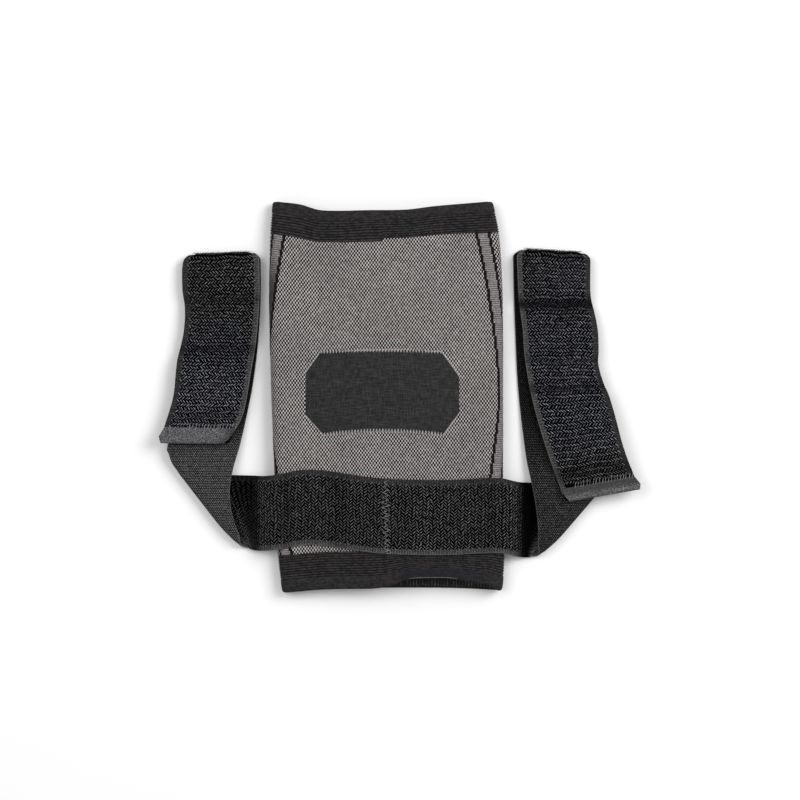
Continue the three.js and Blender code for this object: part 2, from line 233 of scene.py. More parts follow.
RIGHT = {
    "out": 1,
    "leave": 72.5,
    "land": 95,
    "drop": (79, 98),
    "corner": {
        "x": 121.8,
        "y": -84,
        "angle": 46.5,
        "roll": (5.6, 3.4),
        "slip": (9, 8),
        "bow": 1.5,
        "round": 3.2,
    },
    "leg": table(
        "y x inner",
        (-45, 120.8, 0),
        (-20, 116.8, 0.7),
        (10, 113.4, 1.2),
        (40, 111.9, 1.2),
        (70, 111, 1),
        (97, 110.4, 1),
    ),
    "top": {"y": 97.4, "roll": 2.4, "inset": (4, 2.5), "tilt": 2.6},
    "front": table(
        "y x turn lift",
        (-61.5, 144.2, 10, 2),
        (-30, 133, 8, 2.2),
        (0, 124.2, 3, 3),
        (27, 119.2, 0, 3.2),
        (46, 117.8, 0, 3.2),
        (64, 115.4, 0, 3.4),
        (80, 114.4, 0, 3.4),
        (95, 113.8, 0, 3.8),
    ),
    "edge": table(
        "y outer inner",
        (-61.5, 0, 0),
        (-40, -0.4, 0),
        (-14, 1.2, 0),
        (0, 1, 0),
        (9, -0.6, 0),
        (22, -1.7, 0),
        (32, -0.2, 0),
        (48, 0, 0),
        (60, -0.8, 0),
        (70, -1.9, 0),
        (88, -1.2, 0),
        (97, -0.8, 0),
    ),
    # Creases across the front layer: place, depth and width; they are pressed into its shape and also get
    # painted shade.
    "creases": table("y depth wide", (63, 2.8, 4), (24.5, 1.3, 2.5), (6, 2, 4), (-50, 1.6, 6)),
    # Painted highlight on the front layer: place, reach and strength.
    "gleam": (8, 34, 0.2),
    "tab": {
        "depth": 9.6,
        "outer": 2.4,
        "inset": 0,
        "inner": 4.6,
        "under": 2.5,
        "band": 1.0,
        "curl": 0.4,
        "ticks": (-16, 24),
    },
}
TAB_THICK, TAB_LAP, TAB_CLEAR = 1.0, 3.6, 0.3


# Curves and the tube's surface
def read(rows, column, at):
    """Smooth curve through one column, read at values of the table's first column."""
    key = next(iter(rows))
    places, values = rows[key], rows[column]
    at = np.clip(np.asarray(at, float), places[0], places[-1])
    last = len(places) - 1
    order = np.arange(last + 1)
    before, after = np.maximum(order - 1, 0), np.minimum(order + 1, last)
    slopes = (values[after] - values[before]) / (places[after] - places[before])
    low = np.clip(np.searchsorted(places, at) - 1, 0, last - 1)
    span = places[low + 1] - places[low]
    t = (at - places[low]) / span
    push = span * (slopes[low] * t * (1 - t) ** 2 - slopes[low + 1] * t * t * (1 - t))
    return values[low] + (values[low + 1] - values[low]) * t * t * (3 - 2 * t) + push


def lerp(a, b, t):
    return a + (b - a) * t


def smoothstep(at, low, high):
    t = np.clip((at - low) / (high - low), 0, 1)
    return t * t * (3 - 2 * t)


def bell(at, middle, wide, power=2):
    """1 at a place, dying out at about its width on either side."""
    return np.exp(-(np.abs((at - middle) / wide) ** power))


def stack(*columns):
    return np.stack(np.broadcast_arrays(*columns), axis=-1).astype(float)


def unit(vectors):
    return vectors / np.linalg.norm(vectors, axis=-1, keepdims=True)


def follow(at, places, points):
    """Points of a line in space, read at values between its places."""
    return stack(*(np.interp(at, places, points[:, axis]) for axis in range(3)))


def half_round(y):
    fold = read(SECTIONS, "fold", y)
    return 2 * (read(SECTIONS, "half", y) - fold) + math.pi * fold


def gape_share(x):
    return np.maximum(0, read(GAPE, "back", x)) / GAPE_BACK


def slack(x, y):
    """Low, broad unevenness of cloth that lies loosely."""
    wave = np.sin(x / 19 + 1.1) * np.sin(y / 26 + 0.4) + 0.6 * np.sin(x / 11 - y / 37 + 2.2)
    return 0.3 * wave


def tube_point(round_at, y, depth):
    """Point at a distance round the tube from its top middle, sunk by a depth into the wall."""
    centre = read(SECTIONS, "centre", y)
    fold = read(SECTIONS, "fold", y)
    crown = read(SECTIONS, "crown", y)
    flat = read(SECTIONS, "half", y) - fold
    whole = 2 * half_round(y)
    wrapped = round_at - whole * np.round(round_at / whole)
    side = np.where(wrapped < 0, -1.0, 1.0)
    far = np.abs(wrapped)
    turn = np.clip((far - flat) / fold, 0, math.pi)
    top = far <= flat
    under = far > flat + math.pi * fold
    x = np.where(top, far, flat + fold * np.sin(turn))
    x = np.where(under, 2 * flat + math.pi * fold - far, x)
    crowned = 2 * fold + crown * np.cos(math.pi / 2 * np.minimum(far / flat, 1)) ** 2
    z = np.where(top, crowned, fold + fold * np.cos(turn))
    across = centre + side * x
    lift = GAPE_RISE * gape_share(across) * smoothstep(-y, GAPE_FROM, GAPE_TO)
    z = z + (lift + slack(across, y) * smoothstep(z, 0, 12)) * np.clip(z / (2 * fold), 0, 1)
    return stack(across - side * depth * np.sin(turn), y, z - depth * np.cos(turn))


def on_front(x, y, height):
    """Points on the sleeve's top face, at a height above it."""
    return tube_point(x - read(SECTIONS, "centre", y), y, -height)


def top_height(x, y):
    return on_front(x, y, 0)[..., 2]


def nominal(run):
    return lerp(BODY_LOW, BODY_HIGH, run)


def panel_half(run):
    return read(PANEL, "half", nominal(run))


def body_point(round_at, run, depth):
    """Point of the knitted body, run 0 at the bottom cuff's border and 1 at the top cuff's."""
    x = tube_point(round_at, nominal(run), 0)[..., 0]
    low = read(BOTTOM_EDGE, "border", x)
    high = read(TOP_EDGE, "border", x)
    return tube_point(round_at, lerp(low, high, run), depth)


# Meshes
def make_mesh(name, points, quads, tris=None, uv=None, shade=None):
    """Mesh object from points in millimetres, quads, triangles, and a UV and a shade per point."""
    points = np.array(points, float).reshape(-1, 3)
    points[:, 2] = np.maximum(points[:, 2], FLOOR_CLEAR)
    quads = np.asarray(quads, np.int32).reshape(-1, 4)
    tris = np.zeros((0, 3), np.int32) if tris is None else np.asarray(tris, np.int32).reshape(-1, 3)
    corners = np.concatenate([quads.ravel(), tris.ravel()])
    starts = np.concatenate(
        [np.arange(len(quads)) * 4, len(quads) * 4 + np.arange(len(tris)) * 3]
    )
    mesh = bpy.data.meshes.new(name)
    mesh.vertices.add(len(points))
    mesh.vertices.foreach_set("co", (points * MM).ravel())
    mesh.loops.add(len(corners))
    mesh.loops.foreach_set("vertex_index", corners)
    mesh.polygons.add(len(starts))
    mesh.polygons.foreach_set("loop_start", starts.astype(np.int32))
    mesh.polygons.foreach_set("use_smooth", np.ones(len(starts), bool))
    if uv is not None:
        layer = mesh.uv_layers.new(name="knit")
        layer.uv.foreach_set("vector", np.asarray(uv, float).reshape(-1, 2)[corners].ravel())
    if shade is not None:
        values = mesh.attributes.new("shade", "FLOAT", "POINT")
        values.data.foreach_set("value", np.asarray(shade, float).ravel())
    mesh.update(calc_edges=True)
    mesh.validate()
    piece = bpy.data.objects.new(name, mesh)
    bpy.context.scene.collection.objects.link(piece)
    return piece


def grid_quads(rows, columns, close_rows=False, close_columns=False):
    """Quads of a grid of points, row by row, closed into a ring either way if asked."""
    i = np.arange(columns if close_columns else columns - 1)
    j = np.arange(rows if close_rows else rows - 1)
    i, j = np.meshgrid(i, j)
    right, up = (i + 1) % columns, (j + 1) % rows
    corners = [j * columns + i, j * columns + right, up * columns + right, up * columns + i]
    return np.stack(corners, axis=-1).reshape(-1, 4)


def finish_piece(piece, slot, material, *nodes):
    materials = material if isinstance(material, list) else [material]
    for each in materials:
        piece.data.materials.append(each)
    if nodes:
        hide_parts(*nodes)
    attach(piece, "root")
    return piece


def tubes(paths, normals, radius, sides):
    """Closed tubes along many paths at once: paths and normals are (count, steps, 3)."""
    count, steps, _ = paths.shape
    along = unit(np.gradient(paths, axis=1))
    across = unit(np.cross(along, normals))
    lifted = np.cross(across, along)
    turn = 2 * math.pi * np.arange(sides) / sides + math.pi / 2
    ring = np.cos(turn)[:, None] * across[:, :, None] + np.sin(turn)[:, None] * lifted[:, :, None]
    radius = np.broadcast_to(radius, (count, steps))
    points = paths[:, :, None] + ring * radius[:, :, None, None]
    offsets = (np.arange(count) * steps * sides)[:, None, None]
    quads = (grid_quads(steps, sides, close_columns=True)[None] + offsets).reshape(-1, 4)
    first = np.arange(sides)[::-1]
    last = np.arange(sides) + (steps - 1) * sides
    caps = (np.stack([first, last])[None] + offsets).reshape(-1, sides)
    if sides == 3:
        return points, quads, caps
    return points, np.concatenate([quads, caps]), None


def thread_piece(name, paths, radius, slot, material, up=(0.0, 0.0, 1.0)):
    """Piece made of thick threads, one along each path."""
    paths = np.array(paths)
    mesh_parts = tubes(paths, np.broadcast_to(up, paths.shape), radius, THREAD_SIDES)
    return finish_piece(make_mesh(name, *mesh_parts), slot, material)


# Materials
class Value:
    """What a material's node puts out, so that sums and products read as formulas."""

    def __init__(self, finish, socket):
        self.finish = finish
        self.socket = socket

    def __add__(self, other):
        return self.finish.math("ADD", self, other)

    def __sub__(self, other):
        return self.finish.math("SUBTRACT", self, other)

    def __rsub__(self, other):
        return self.finish.math("SUBTRACT", other, self)

    def __mul__(self, other):
        return self.finish.math("MULTIPLY", self, other)


class Finish:
    """A material and short ways to add and join its nodes."""

    def __init__(self, name, roughness=0.9, specular=0.06):
        self.material = bpy.data.materials.new(name)
        self.material.use_nodes = True
        self.nodes = self.material.node_tree.nodes
        self.links = self.material.node_tree.links
        self.shader = self.nodes["Principled BSDF"].inputs
        self.shader["Roughness"].default_value = roughness
        self.shader["Specular IOR Level"].default_value = specular

    def put(self, socket, value):
        if isinstance(value, Value):
            self.links.new(value.socket, socket)
        else:
            socket.default_value = value

    def node(self, kind, inputs, output=0, **settings):
        """New node with these settings and inputs, and what it puts out."""
        node = self.nodes.new(f"ShaderNode{kind}")
        for name, setting in settings.items():
            setattr(node, name, setting)
        for key, value in inputs.items():
            self.put(node.inputs[key], value)
        return Value(self, node.outputs[output])

    def math(self, operation, *terms):
        return self.node("Math", dict(enumerate(terms)), operation=operation)

    def split(self, place):
        """The first two coordinates of a place."""
        node = self.nodes.new("ShaderNodeSeparateXYZ")
        self.put(node.inputs[0], place)
        return Value(self, node.outputs[0]), Value(self, node.outputs[1])

    def knit(self):
        """The two coordinates of the piece's own map."""
        return self.split(self.node("UVMap", {}, uv_map="knit"))

    def metres(self):
        """Place in the object's own metres."""
        return self.node("TexCoord", {}, "Object")

    def shade(self):
        """The piece's own shade value."""
        return self.node("Attribute", {}, "Fac", attribute_name="shade")

    def noise(self, scale, detail=2.0, roughness=0.6, stretch=(1, 1, 1)):
        """Cloudy value in the object's own metres."""
        place = self.node("Mapping", {"Vector": self.metres(), "Scale": stretch})
        cloud = {"Vector": place, "Scale": scale, "Detail": detail, "Roughness": roughness}
        return self.node("TexNoise", cloud)

    def wave(self, value, turns):
        """Cosine of a coordinate, a number of turns for each unit."""
        return self.math("COSINE", value * (2 * math.pi * turns))

    def ramp(self, value, low, high, to_low=0.0, to_high=1.0):
        ends = dict(enumerate((value, low, high, to_low, to_high)))
        return self.node("MapRange", ends, interpolation_type="SMOOTHSTEP")

    def mix(self, share, first, second):
        return self.node("Mix", {"Factor": share, 6: first, 7: second}, 2, data_type="RGBA")

    def colour(self, value):
        self.put(self.shader["Base Color"], value)

    def bump(self, height, distance):
        relief = {"Height": height, "Distance": distance * MM, "Strength": 1.0}
        self.put(self.shader["Normal"], self.node("Bump", relief))


def grey(value, red=0.0, blue=0.0):
    """Linear colour from a screen grey of 0 to 255, with a share more of red or of blue."""
    level = ((value / 255 + 0.055) / 1.055) ** 2.4 if value > 10 else value / 255 / 12.92
    return (level * (1 + red), level, level * (1 + blue), 1.0)


def mesh_finish():
    """Warm grey honeycomb with dark eyelets."""
    finish = Finish("mesh_knit")
    u, v = finish.knit()
    eyelet = finish.wave(u, 1) * finish.wave(v, 1)
    grain = finish.noise(1500, 3)
    wobble = finish.noise(420, 1) * 0.6 - 0.3
    dark = finish.ramp(eyelet + wobble, -0.16, -0.03)
    yarn = finish.mix(grain, grey(148, 0.07, -0.02), grey(210, 0.07, -0.02))
    cloud = finish.ramp(finish.noise(26), 0.35, 0.7)
    yarn = finish.mix(cloud * 0.3, yarn, grey(142, 0.08, -0.02))
    finish.colour(finish.mix(dark, yarn, grey(4, 0.1)))
    bend = finish.math("PINGPONG", u + 0.25, 0.5)
    strand = finish.wave(bend + v, 5) * 0.25
    finish.bump(eyelet * -0.6 + strand + grain * 0.4, 0.18)
    return finish.material


def inner_finish():
    """Plain reverse of the honeycomb."""
    finish = Finish("inner_knit")
    u, v = finish.knit()
    rows = finish.wave(u, 1) * finish.wave(v, 1)
    finish.colour(finish.mix(finish.ramp(rows, -0.4, 0.8), grey(110, 0.06), grey(30, 0.06)))
    finish.bump(rows, 0.3)
    return finish.material


def panel_finish():
    """Charcoal plain knit with uneven courses and wales."""
    finish = Finish("panel_knit")
    u, v = finish.knit()
    loops = finish.wave(u, 1) * finish.wave(v, 1)
    courses = finish.ramp(finish.noise(60, 3, 0.7, (2.2, 25, 1)), 0.4, 0.66)
    wales = finish.ramp(finish.noise(60, 3, 0.7, (23, 2.6, 1)), 0.45, 0.7)
    base = finish.mix(courses * 0.85, grey(36), grey(68))
    base = finish.mix(wales * 0.6, base, grey(82))
    finish.colour(finish.mix(finish.ramp(loops, 0.0, 0.9, 0.0, 0.8), base, grey(26)))
    finish.bump(loops * -0.6 + courses, 0.25)
    return finish.material


def stripe_finish():
    """Grey cross ribs with painted shade in the valleys between them, and painted shade where the shade
    value says so: the left stripe, where the tube's side turns away from the light.
    """
    finish = Finish("stripe_knit")
    u, v = finish.knit()
    # Painted shade in the valleys between the ribs.
    valley_shade = finish.ramp(finish.wave(v, 2), 0.0, 0.95, 0.0, 0.75)
    grain = finish.ramp(finish.noise(900, 3), 0.3, 0.7)
    yarn = finish.mix(grain, grey(100, 0.07), grey(152, 0.07))
    cloth = finish.mix(valley_shade, yarn, grey(32, 0.08))
    # Painted shade from the shade value, which darkens the left stripe.
    finish.colour(finish.mix(finish.shade(), grey(30), cloth))
    finish.bump(finish.wave(u, 2) * 0.4 + grain, 0.15)
    return finish.material


def edge_finish():
    """Black yarn of the stepped lines."""
    finish = Finish("edge_knit")
    u, v = finish.knit()
    finish.colour(finish.mix(finish.noise(1500), grey(8, 0.1), grey(30, 0.1)))
    finish.bump(finish.wave(u, 1) * finish.wave(v, 2), 0.25)
    return finish.material


def cuff_finish(name, level):
    """Ribs with painted shade between their crests, a smooth hem, and an inner hem with upright ticks; at
    the mouth the front hem gets a painted sheen and its rim a broken painted highlight, and all round the
    rim a painted shade line.
    """
    finish = Finish(name, roughness=0.8, specular=0.1)
    u, v = finish.knit()
    shade = finish.shade()
    wales = finish.ramp(finish.wave(u, 2), 0.2, 1)
    grain = finish.ramp(finish.noise(480, 3, 0.7, (0.7, 1.4, 1)), 0.42, 0.62)
    tint = finish.ramp(finish.noise(45), 0.42, 0.62)
    base = finish.mix(tint, grey(level, 0.17, 0.06), grey(level, 0.02, 0.05))
    hem = finish.mix(tint, grey(level - 10, 0.14, 0.06), grey(level - 10, 0.02, 0.08))
    # Painted sheen where the front rim lifts at the mouth: the hem there is painted darker and bluer.
    hem = finish.mix(finish.ramp(shade, 0.3, 0.9) * 0.9, hem, grey(level - 22, 0.04, 0.36))
    rim = finish.ramp(v, HEM_RIM - 0.3, HEM_RIM)
    # Painted highlight along the lifted front rim at the mouth, broken up by noise.
    rim_highlight = finish.ramp(shade, 0.85, 1.0) * rim * finish.ramp(finish.noise(160), 0.35, 0.6, 0.35, 1.0)
    base = finish.mix(finish.ramp(finish.wave(v, 1), -0.99, -1.0), base, hem)
    base = finish.mix(grain * 0.85, base, grey(level * 0.45, 0.1, 0.05))
    base = finish.mix(wales * 0.3, base, grey(level * 0.5, 0.1))
    # Painted shade in the valleys between the ribs.
    valley_shade = finish.ramp(finish.wave(v, 1), -0.1, 0.9)
    base = finish.mix(valley_shade * 0.9, base, grey(level * 0.3, 0.1))
    # Painted shade along the rim where it rolls back.
    base = finish.mix(rim * 0.6, base, grey(level * 0.35, 0.1))
    base = finish.mix(rim_highlight * 0.6, base, grey(132, 0.0, 0.06))
    uneven = finish.noise(300) * 3.2 - 1.6
    ticks = finish.ramp(finish.wave(u, 1) + uneven, 0.3, 1.7)
    lining = finish.mix(ticks, grey(41, 0.02, 0.05), grey(level + 50, 0.02, 0.05))
    finish.colour(finish.mix(finish.ramp(v, -0.9, -1.0), base, lining))
    finish.bump(wales * -0.5 + grain, 0.2)
    return finish.material


def strap_face_finish():
    """Loop side: near-black ground with plain selvedges, lighter on the side near the sleeve, and painted
    shade along its bends and creases from the shade value.
    """
    finish = Finish("strap_ground", specular=0.02)
    along, across = finish.knit()
    low_edge = (-STRAP_WIDTH / 2 + SELVEDGE_IN) / STRAP_MAP
    high_edge = (STRAP_WIDTH / 2 - SELVEDGE_OUT) / STRAP_MAP
    low = finish.ramp(across, low_edge, low_edge - 0.06)
    edge = finish.math("MAXIMUM", low, finish.ramp(across, high_edge, high_edge + 0.06))
    rim = finish.ramp(finish.math("ABSOLUTE", across), 2.44, 2.54)
    ticks = finish.ramp(finish.wave(along, STRAP_MAP / (2 * STATION)), -0.5, 0.8, 0.42, 1.0)
    grain = finish.ramp(finish.noise(1100), 0.25, 0.7)
    near = finish.ramp(across, 1.0, -1.0)
    dim = finish.mix(near, grey(14), grey(20))
    bright = finish.mix(near, grey(68), grey(94))
    band = finish.mix(ticks * grain, dim, bright)
    band = finish.mix(rim * near * 0.35, band, grey(130))
    lit = finish.mix(edge, finish.mix(grain, grey(1), grey(5)), band)
    # Painted shade from the shade value, which holds the painted shade along the strap's run.
    finish.colour(finish.mix(finish.shade(), grey(2), lit))
    finish.bump(grain * ticks, 0.2)
    return finish.material


def strap_reverse_finish():
    """Smooth side: fine close weave in dark grey with a lighter edge thread, and a painted shadow from the
    shade value.
    """
    finish = Finish("strap_weave")
    across = finish.knit()[1]
    stray = finish.noise(340) * 0.0008 - 0.0004
    x, y = (place + stray for place in finish.split(finish.metres()))
    weave = finish.wave(y, 1 / (WEAVE_LONG * MM)) * finish.wave(x, 1 / (WEAVE_WIDE * MM))
    weave = finish.wave(y, 1 / (WEAVE_ROW * MM)) * 0.36 + weave
    grain = finish.ramp(finish.noise(1500, 2, 0.6, (0.8, 1.2, 1)), 0.3, 0.68)
    tint = finish.ramp(finish.noise(30), 0.35, 0.65)
    base = finish.mix(tint, grey(18, 0.06, -0.03), grey(18, -0.02, 0.12))
    # The shade value, a painted shadow, thins out the light threads and darkens the weave.
    light = weave * 0.5 + grain * 0.7 + (finish.shade() * 0.5 - 0.5)
    base = finish.mix(finish.ramp(light, 0.1, 1.1), base, grey(116))
    base = finish.mix(finish.ramp(weave, 0.1, -0.6, 0.0, 0.9), base, grey(6))
    rim = finish.ramp(finish.math("ABSOLUTE", across), 2.46, 2.53)
    base = finish.mix(rim * 0.4, base, grey(110))
    # Painted shadow: darker where the shade value is low.
    finish.colour(finish.mix(finish.ramp(finish.shade(), -0.2, 0.8), grey(3), base))
    finish.bump(grain * 0.6 + weave, 0.3)
    return finish.material


def pile_finish():
    """Loops with painted light from the shade value, painted shade at their feet and painted sparkle
    highlights from the grain, a little bluer on the turned-back ends.
    """
    finish = Finish("strap_pile", roughness=0.6)
    grain = finish.noise(1700)
    x, y = finish.split(finish.metres())
    cloud = finish.noise(22, 1) * 0.08 + y
    tint = finish.ramp(cloud, -0.03, 0.03) * finish.ramp(x * -0.2 + cloud, 0.12, 0.095)
    base = finish.mix(tint, grey(204), grey(204, -0.03, 0.22))
    lit = finish.mix(finish.ramp(grain, 0.3, 0.6), grey(150), base)
    # Painted sparkle highlights.
    lit = finish.mix(finish.ramp(grain, 0.6, 0.7), lit, grey(252))
    finish.colour(finish.mix(finish.shade(), grey(1), lit))
    finish.bump(finish.noise(4000), 0.1)
    return finish.material


def thread_finish(name, low, high):
    finish = Finish(name, roughness=0.6, specular=0.15)
    grain = finish.ramp(finish.noise(900), 0.3, 0.7)
    finish.colour(finish.mix(grain, grey(low), grey(high)))
    finish.bump(finish.noise(1800), 0.1)
    return finish.material


def tab_finish():
    """Speckled felt, its upper part smoother and darker where the shade says so, with painted shade at the
    left tab's curled inner end and inside the fold.
    """
    finish = Finish("tab_felt")
    u, v = finish.knit()
    shade = finish.shade()
    grain = finish.noise(1500)
    fibre = finish.noise(2000)
    dull = finish.mix(shade, grey(30, 0.0, 0.1), grey(30))
    pale = finish.mix(shade, grey(98, 0.0, 0.1), grey(96))
    base = finish.mix(finish.ramp(grain, 0.43, 0.57), dull, pale)
    base = finish.mix(finish.ramp(fibre, 0.56, 0.64), base, grey(148, 0.0, 0.04))
    base = finish.mix(finish.ramp(v, 0.66, 0.4) * shade * 0.7, base, grey(50))
    # Painted shade at the left tab's curled inner end.
    base = finish.mix(finish.ramp(u, 0.17, 0.04) * (1 - shade) * 0.6, base, grey(22))
    # The inner sheet is painted near-black: painted shade inside the fold.
    finish.colour(finish.mix(finish.ramp(v, -0.2, -0.6), base, grey(9)))
    finish.bump(grain + fibre, 0.35)
    return finish.material


# Knitted body
cell_wide, cell_tall = WALE / CELLS, 1 / BODY_ROWS
trim_columns = 2 * EDGE_COLUMNS + STRIPE_COLUMNS
reach_columns = 2 * math.ceil((PANEL["half"].max() / cell_wide + trim_columns) / 2) + SPARE_COLUMNS


def band_columns(slips):
    """Column of the front panel's edge, out from its middle, in each row of cells."""
    run = np.clip((np.arange(-TUCK_ROWS, BODY_ROWS + TUCK_ROWS) + 0.5) * cell_tall, 0, 1)
    half = panel_half(run) - slips * read(PANEL, "slip", nominal(run))
    return (np.round(half / cell_wide / STEP_COLUMNS) * STEP_COLUMNS).astype(int)[:, None]


def body_grid():
    columns = np.arange(-reach_columns, reach_columns + 1)
    rows = np.arange(-TUCK_ROWS, BODY_ROWS + TUCK_ROWS + 1)
    return np.meshgrid(columns, rows)


def tuck(run):
    """Extra depth where the body runs on under a cuff."""
    beyond = np.maximum(-run, run - 1) * BODY_ROWS / TUCK_ROWS
    return TUCK_DEPTH * np.clip(beyond + 0.3, 0, 1)


knee_x, knee_y = KNEE_OUTLINE["x"], KNEE_OUTLINE["y"]
knee_bottom, knee_top = knee_y[0], knee_y[4]


def knee_span(y):
    """Left and right ends of the knee panel at a height."""
    left, right = [0, 7, 6, 5], [1, 2, 3, 4]
    return np.interp(y, knee_y[left], knee_x[left]), np.interp(y, knee_y[right], knee_x[right])


def arched(x, first, last, rise):
    """Height of an arc that stands on two corners of the knee panel."""
    t = np.clip((x - knee_x[first]) / (knee_x[last] - knee_x[first]), 0, 1)
    return 4 * rise * t * (1 - t)


def knee_low(x):
    return knee_bottom + arched(x, 0, 1, KNEE_ARCH)


def knee_high(x):
    return knee_top + arched(x, 5, 4, KNEE_CROWN)


def inside_knee(x, y, margin):
    left, right = knee_span(y)
    level = (y > knee_low(x) + margin) & (y < knee_high(x) - margin)
    return level & (x > left + margin) & (x < right - margin)


def zone_piece(name, in_zone, relief):
    """Piece of the body made of the cells of one zone, with relief that dies out at its edges."""
    i, j = body_grid()
    run = j * cell_tall
    calm = np.zeros(i.shape, bool)
    calm[1:-1, 1:-1] = in_zone[:-1, :-1] & in_zone[1:, :-1] & in_zone[:-1, 1:] & in_zone[1:, 1:]
    raised = np.where(calm & (tuck(run) < 0.5), relief(i, j), 0)
    points = body_point(PANEL_SHIFT + i * cell_wide, run, tuck(run) - raised)
    quads = grid_quads(*i.shape)[in_zone.ravel()]
    # Painted shade for the left side stripe along most of its length, where the tube's side turns away
    # from the light; it fades out near the cuffs, and only the stripe's finish reads it as its shade
    # value.
    shaded = smoothstep(run, 0.06, 0.12) * (1 - smoothstep(run, 0.82, 0.95))
    dim = 1 - 0.74 * shaded * (i < 0)
    kept, places = np.unique(quads, return_inverse=True)
    points = points.reshape(-1, 3)[kept]
    uv = stack(i / CELLS, j / CELLS).reshape(-1, 2)[kept]
    return make_mesh(name, points, places.reshape(-1, 4), None, uv, dim.ravel()[kept])


def body_zones():
    """Cells of each zone round the front half of the tube."""
    i, j = body_grid()
    column = i[:-1, :-1] + 0.5
    far = np.abs(column)
    edge = np.where(column < 0, band_columns(0), band_columns(1))
    first = edge + EDGE_COLUMNS
    second = band_columns(0) + EDGE_COLUMNS + STRIPE_COLUMNS
    third = second + EDGE_COLUMNS
    middles = body_point(PANEL_SHIFT + column * cell_wide, (j[:-1, :-1] + 0.5) * cell_tall, 0)
    zones = {"front_panel": (far < edge) & ~inside_knee(middles[..., 0], middles[..., 1], KNEE_LAP)}
    for name, side in (("left", column < 0), ("right", column > 0)):
        zones[f"stripe_edge_{name}_front"] = side & (far > edge) & (far < first)
        zones[f"side_stripe_{name}"] = side & (far > first) & (far < second)
        zones[f"stripe_edge_{name}_back"] = side & (far > second) & (far < third)
    return zones


def eyelets(i, j):
    turn = 2 * math.pi / CELLS
    return -EYELET_DEPTH * np.cos(turn * i) * np.cos(turn * j)


def ribs(i, j):
    return -RIB_RELIEF * np.cos(math.pi * j) * np.ones(i.shape)


def sunk(i, j):
    return -EDGE_SUNK * np.ones(i.shape)


mesh_knit = mesh_finish()
zone_looks = {
    "front": ("mesh_knit", mesh_knit, eyelets),
    "side": ("stripe_knit", stripe_finish(), ribs),
    "stripe": ("edge_knit", edge_finish(), sunk),
}
body_pieces = {}
for zone_name, in_zone in body_zones().items():
    slot_name, zone_material, zone_relief = zone_looks[zone_name.split("_")[0]]
    piece = zone_piece(f"{zone_name}_cloth", in_zone, zone_relief)
    body_pieces[zone_name] = finish_piece(piece, slot_name, zone_material, zone_name)


def back_cloth():
    """Back panel, which starts under the outer dark line on each side and runs round underneath."""
    columns, rows = 140, BODY_ROWS // 2 + 5
    i, j = np.meshgrid(np.arange(columns + 1), np.arange(-2, rows - 2))
    run = j * 2 * cell_tall
    reach = panel_half(np.clip(run, 0, 1)) + (trim_columns - BACK_LAP_COLUMNS) * cell_wide
    start = PANEL_SHIFT + reach
    end = PANEL_SHIFT + 2 * half_round(nominal(run)) - reach
    lap = 0.35 * (1 - smoothstep(np.minimum(i, columns - i), 2, 4))
    raised = -EYELET_DEPTH * 0.8 * np.cos(math.pi * i) * np.cos(math.pi * j) * (lap < 0.05)
    points = body_point(lerp(start, end, i / columns), run, tuck(run) + lap - raised)
    return make_mesh("back_panel_cloth", points, grid_quads(*i.shape), None, stack(i / 2, j / 2))


body_pieces["back_panel"] = finish_piece(back_cloth(), "mesh_knit", mesh_knit, "back_panel")


def inner_cloth():
    """Inner face of the knit, closed round the tube a little under the outer one."""
    around, along = 300, 60
    share, run = np.meshgrid(np.arange(around) / around * 2 - 1, np.linspace(-0.012, 1.012, along))
    round_at = share * half_round(nominal(run))
    ridges = 0.12 * np.cos(math.pi * np.arange(around))[None, :]
    outer, inner = body_point(round_at, run, 0.75), body_point(round_at, run, WALL + ridges)
    uv = stack(share * half_round(0) / WALE, run * BODY_ROWS / CELLS)
    quads = grid_quads(2 * along, around, close_rows=True, close_columns=True)
    points = np.concatenate([outer, inner[::-1]])
    return make_mesh("sleeve_inner_face", points, quads, None, np.concatenate([uv, uv[::-1]]))


inner_piece = finish_piece(inner_cloth(), "mesh_knit", inner_finish())


def knee_cloth():
    """Knee panel, set a little proud of the mesh with its rim turned down."""
    across, along = 210, 116
    s, t = np.meshgrid(np.linspace(0, 1, across + 1), np.linspace(0, 1, along + 1))
    y = lerp(knee_bottom, knee_top, t)
    left, right = knee_span(y)
    x = lerp(left, right, s)
    y = y + (knee_low(x) - knee_bottom) * (1 - t) ** 2 + (knee_high(x) - knee_top) * t**2
    wide = right - left
    rim = np.minimum.reduce([s * wide, (1 - s) * wide, t * KNEE_TALL, (1 - t) * KNEE_TALL])
    points = on_front(x, y, lerp(-0.25, 0.42, smoothstep(rim, 0, 0.8)))
    quads = grid_quads(along + 1, across + 1)
    return make_mesh("knee_panel_cloth", points, quads, None, stack(x / KNEE_WALE, y / KNEE_COURSE))


body_pieces["knee_panel"] = finish_piece(knee_cloth(), "panel_knit", panel_finish(), "knee_panel")


def knee_border():
    """Light stitches along the knee panel's upper and lower borders."""
    steps = np.linspace(-0.5, 0.5, 6)
    lift = 0.15 + np.cos(math.pi * steps) * 0.42
    paths = []
    for border, row in ((knee_high, KNEE_TICKS["upper"]), (knee_low, KNEE_TICKS["lower"])):
        for x in np.arange(*row["span"], WALE):
            y = border(x) + row["shift"] + row["tall"] * steps
            paths.append(on_front(x + 0.2 * steps, y, lift))
    return paths


def chamfer_cords():
    """Light yarn along the slanted corners of the knee panel."""
    t = np.linspace(0, 1, 24)
    paths = []
    for k in range(1, len(knee_x), 2):
        n = (k + 1) % len(knee_x)
        paths.append(on_front(lerp(knee_x[k], knee_x[n], t), lerp(knee_y[k], knee_y[n], t), 0.1))
    return paths


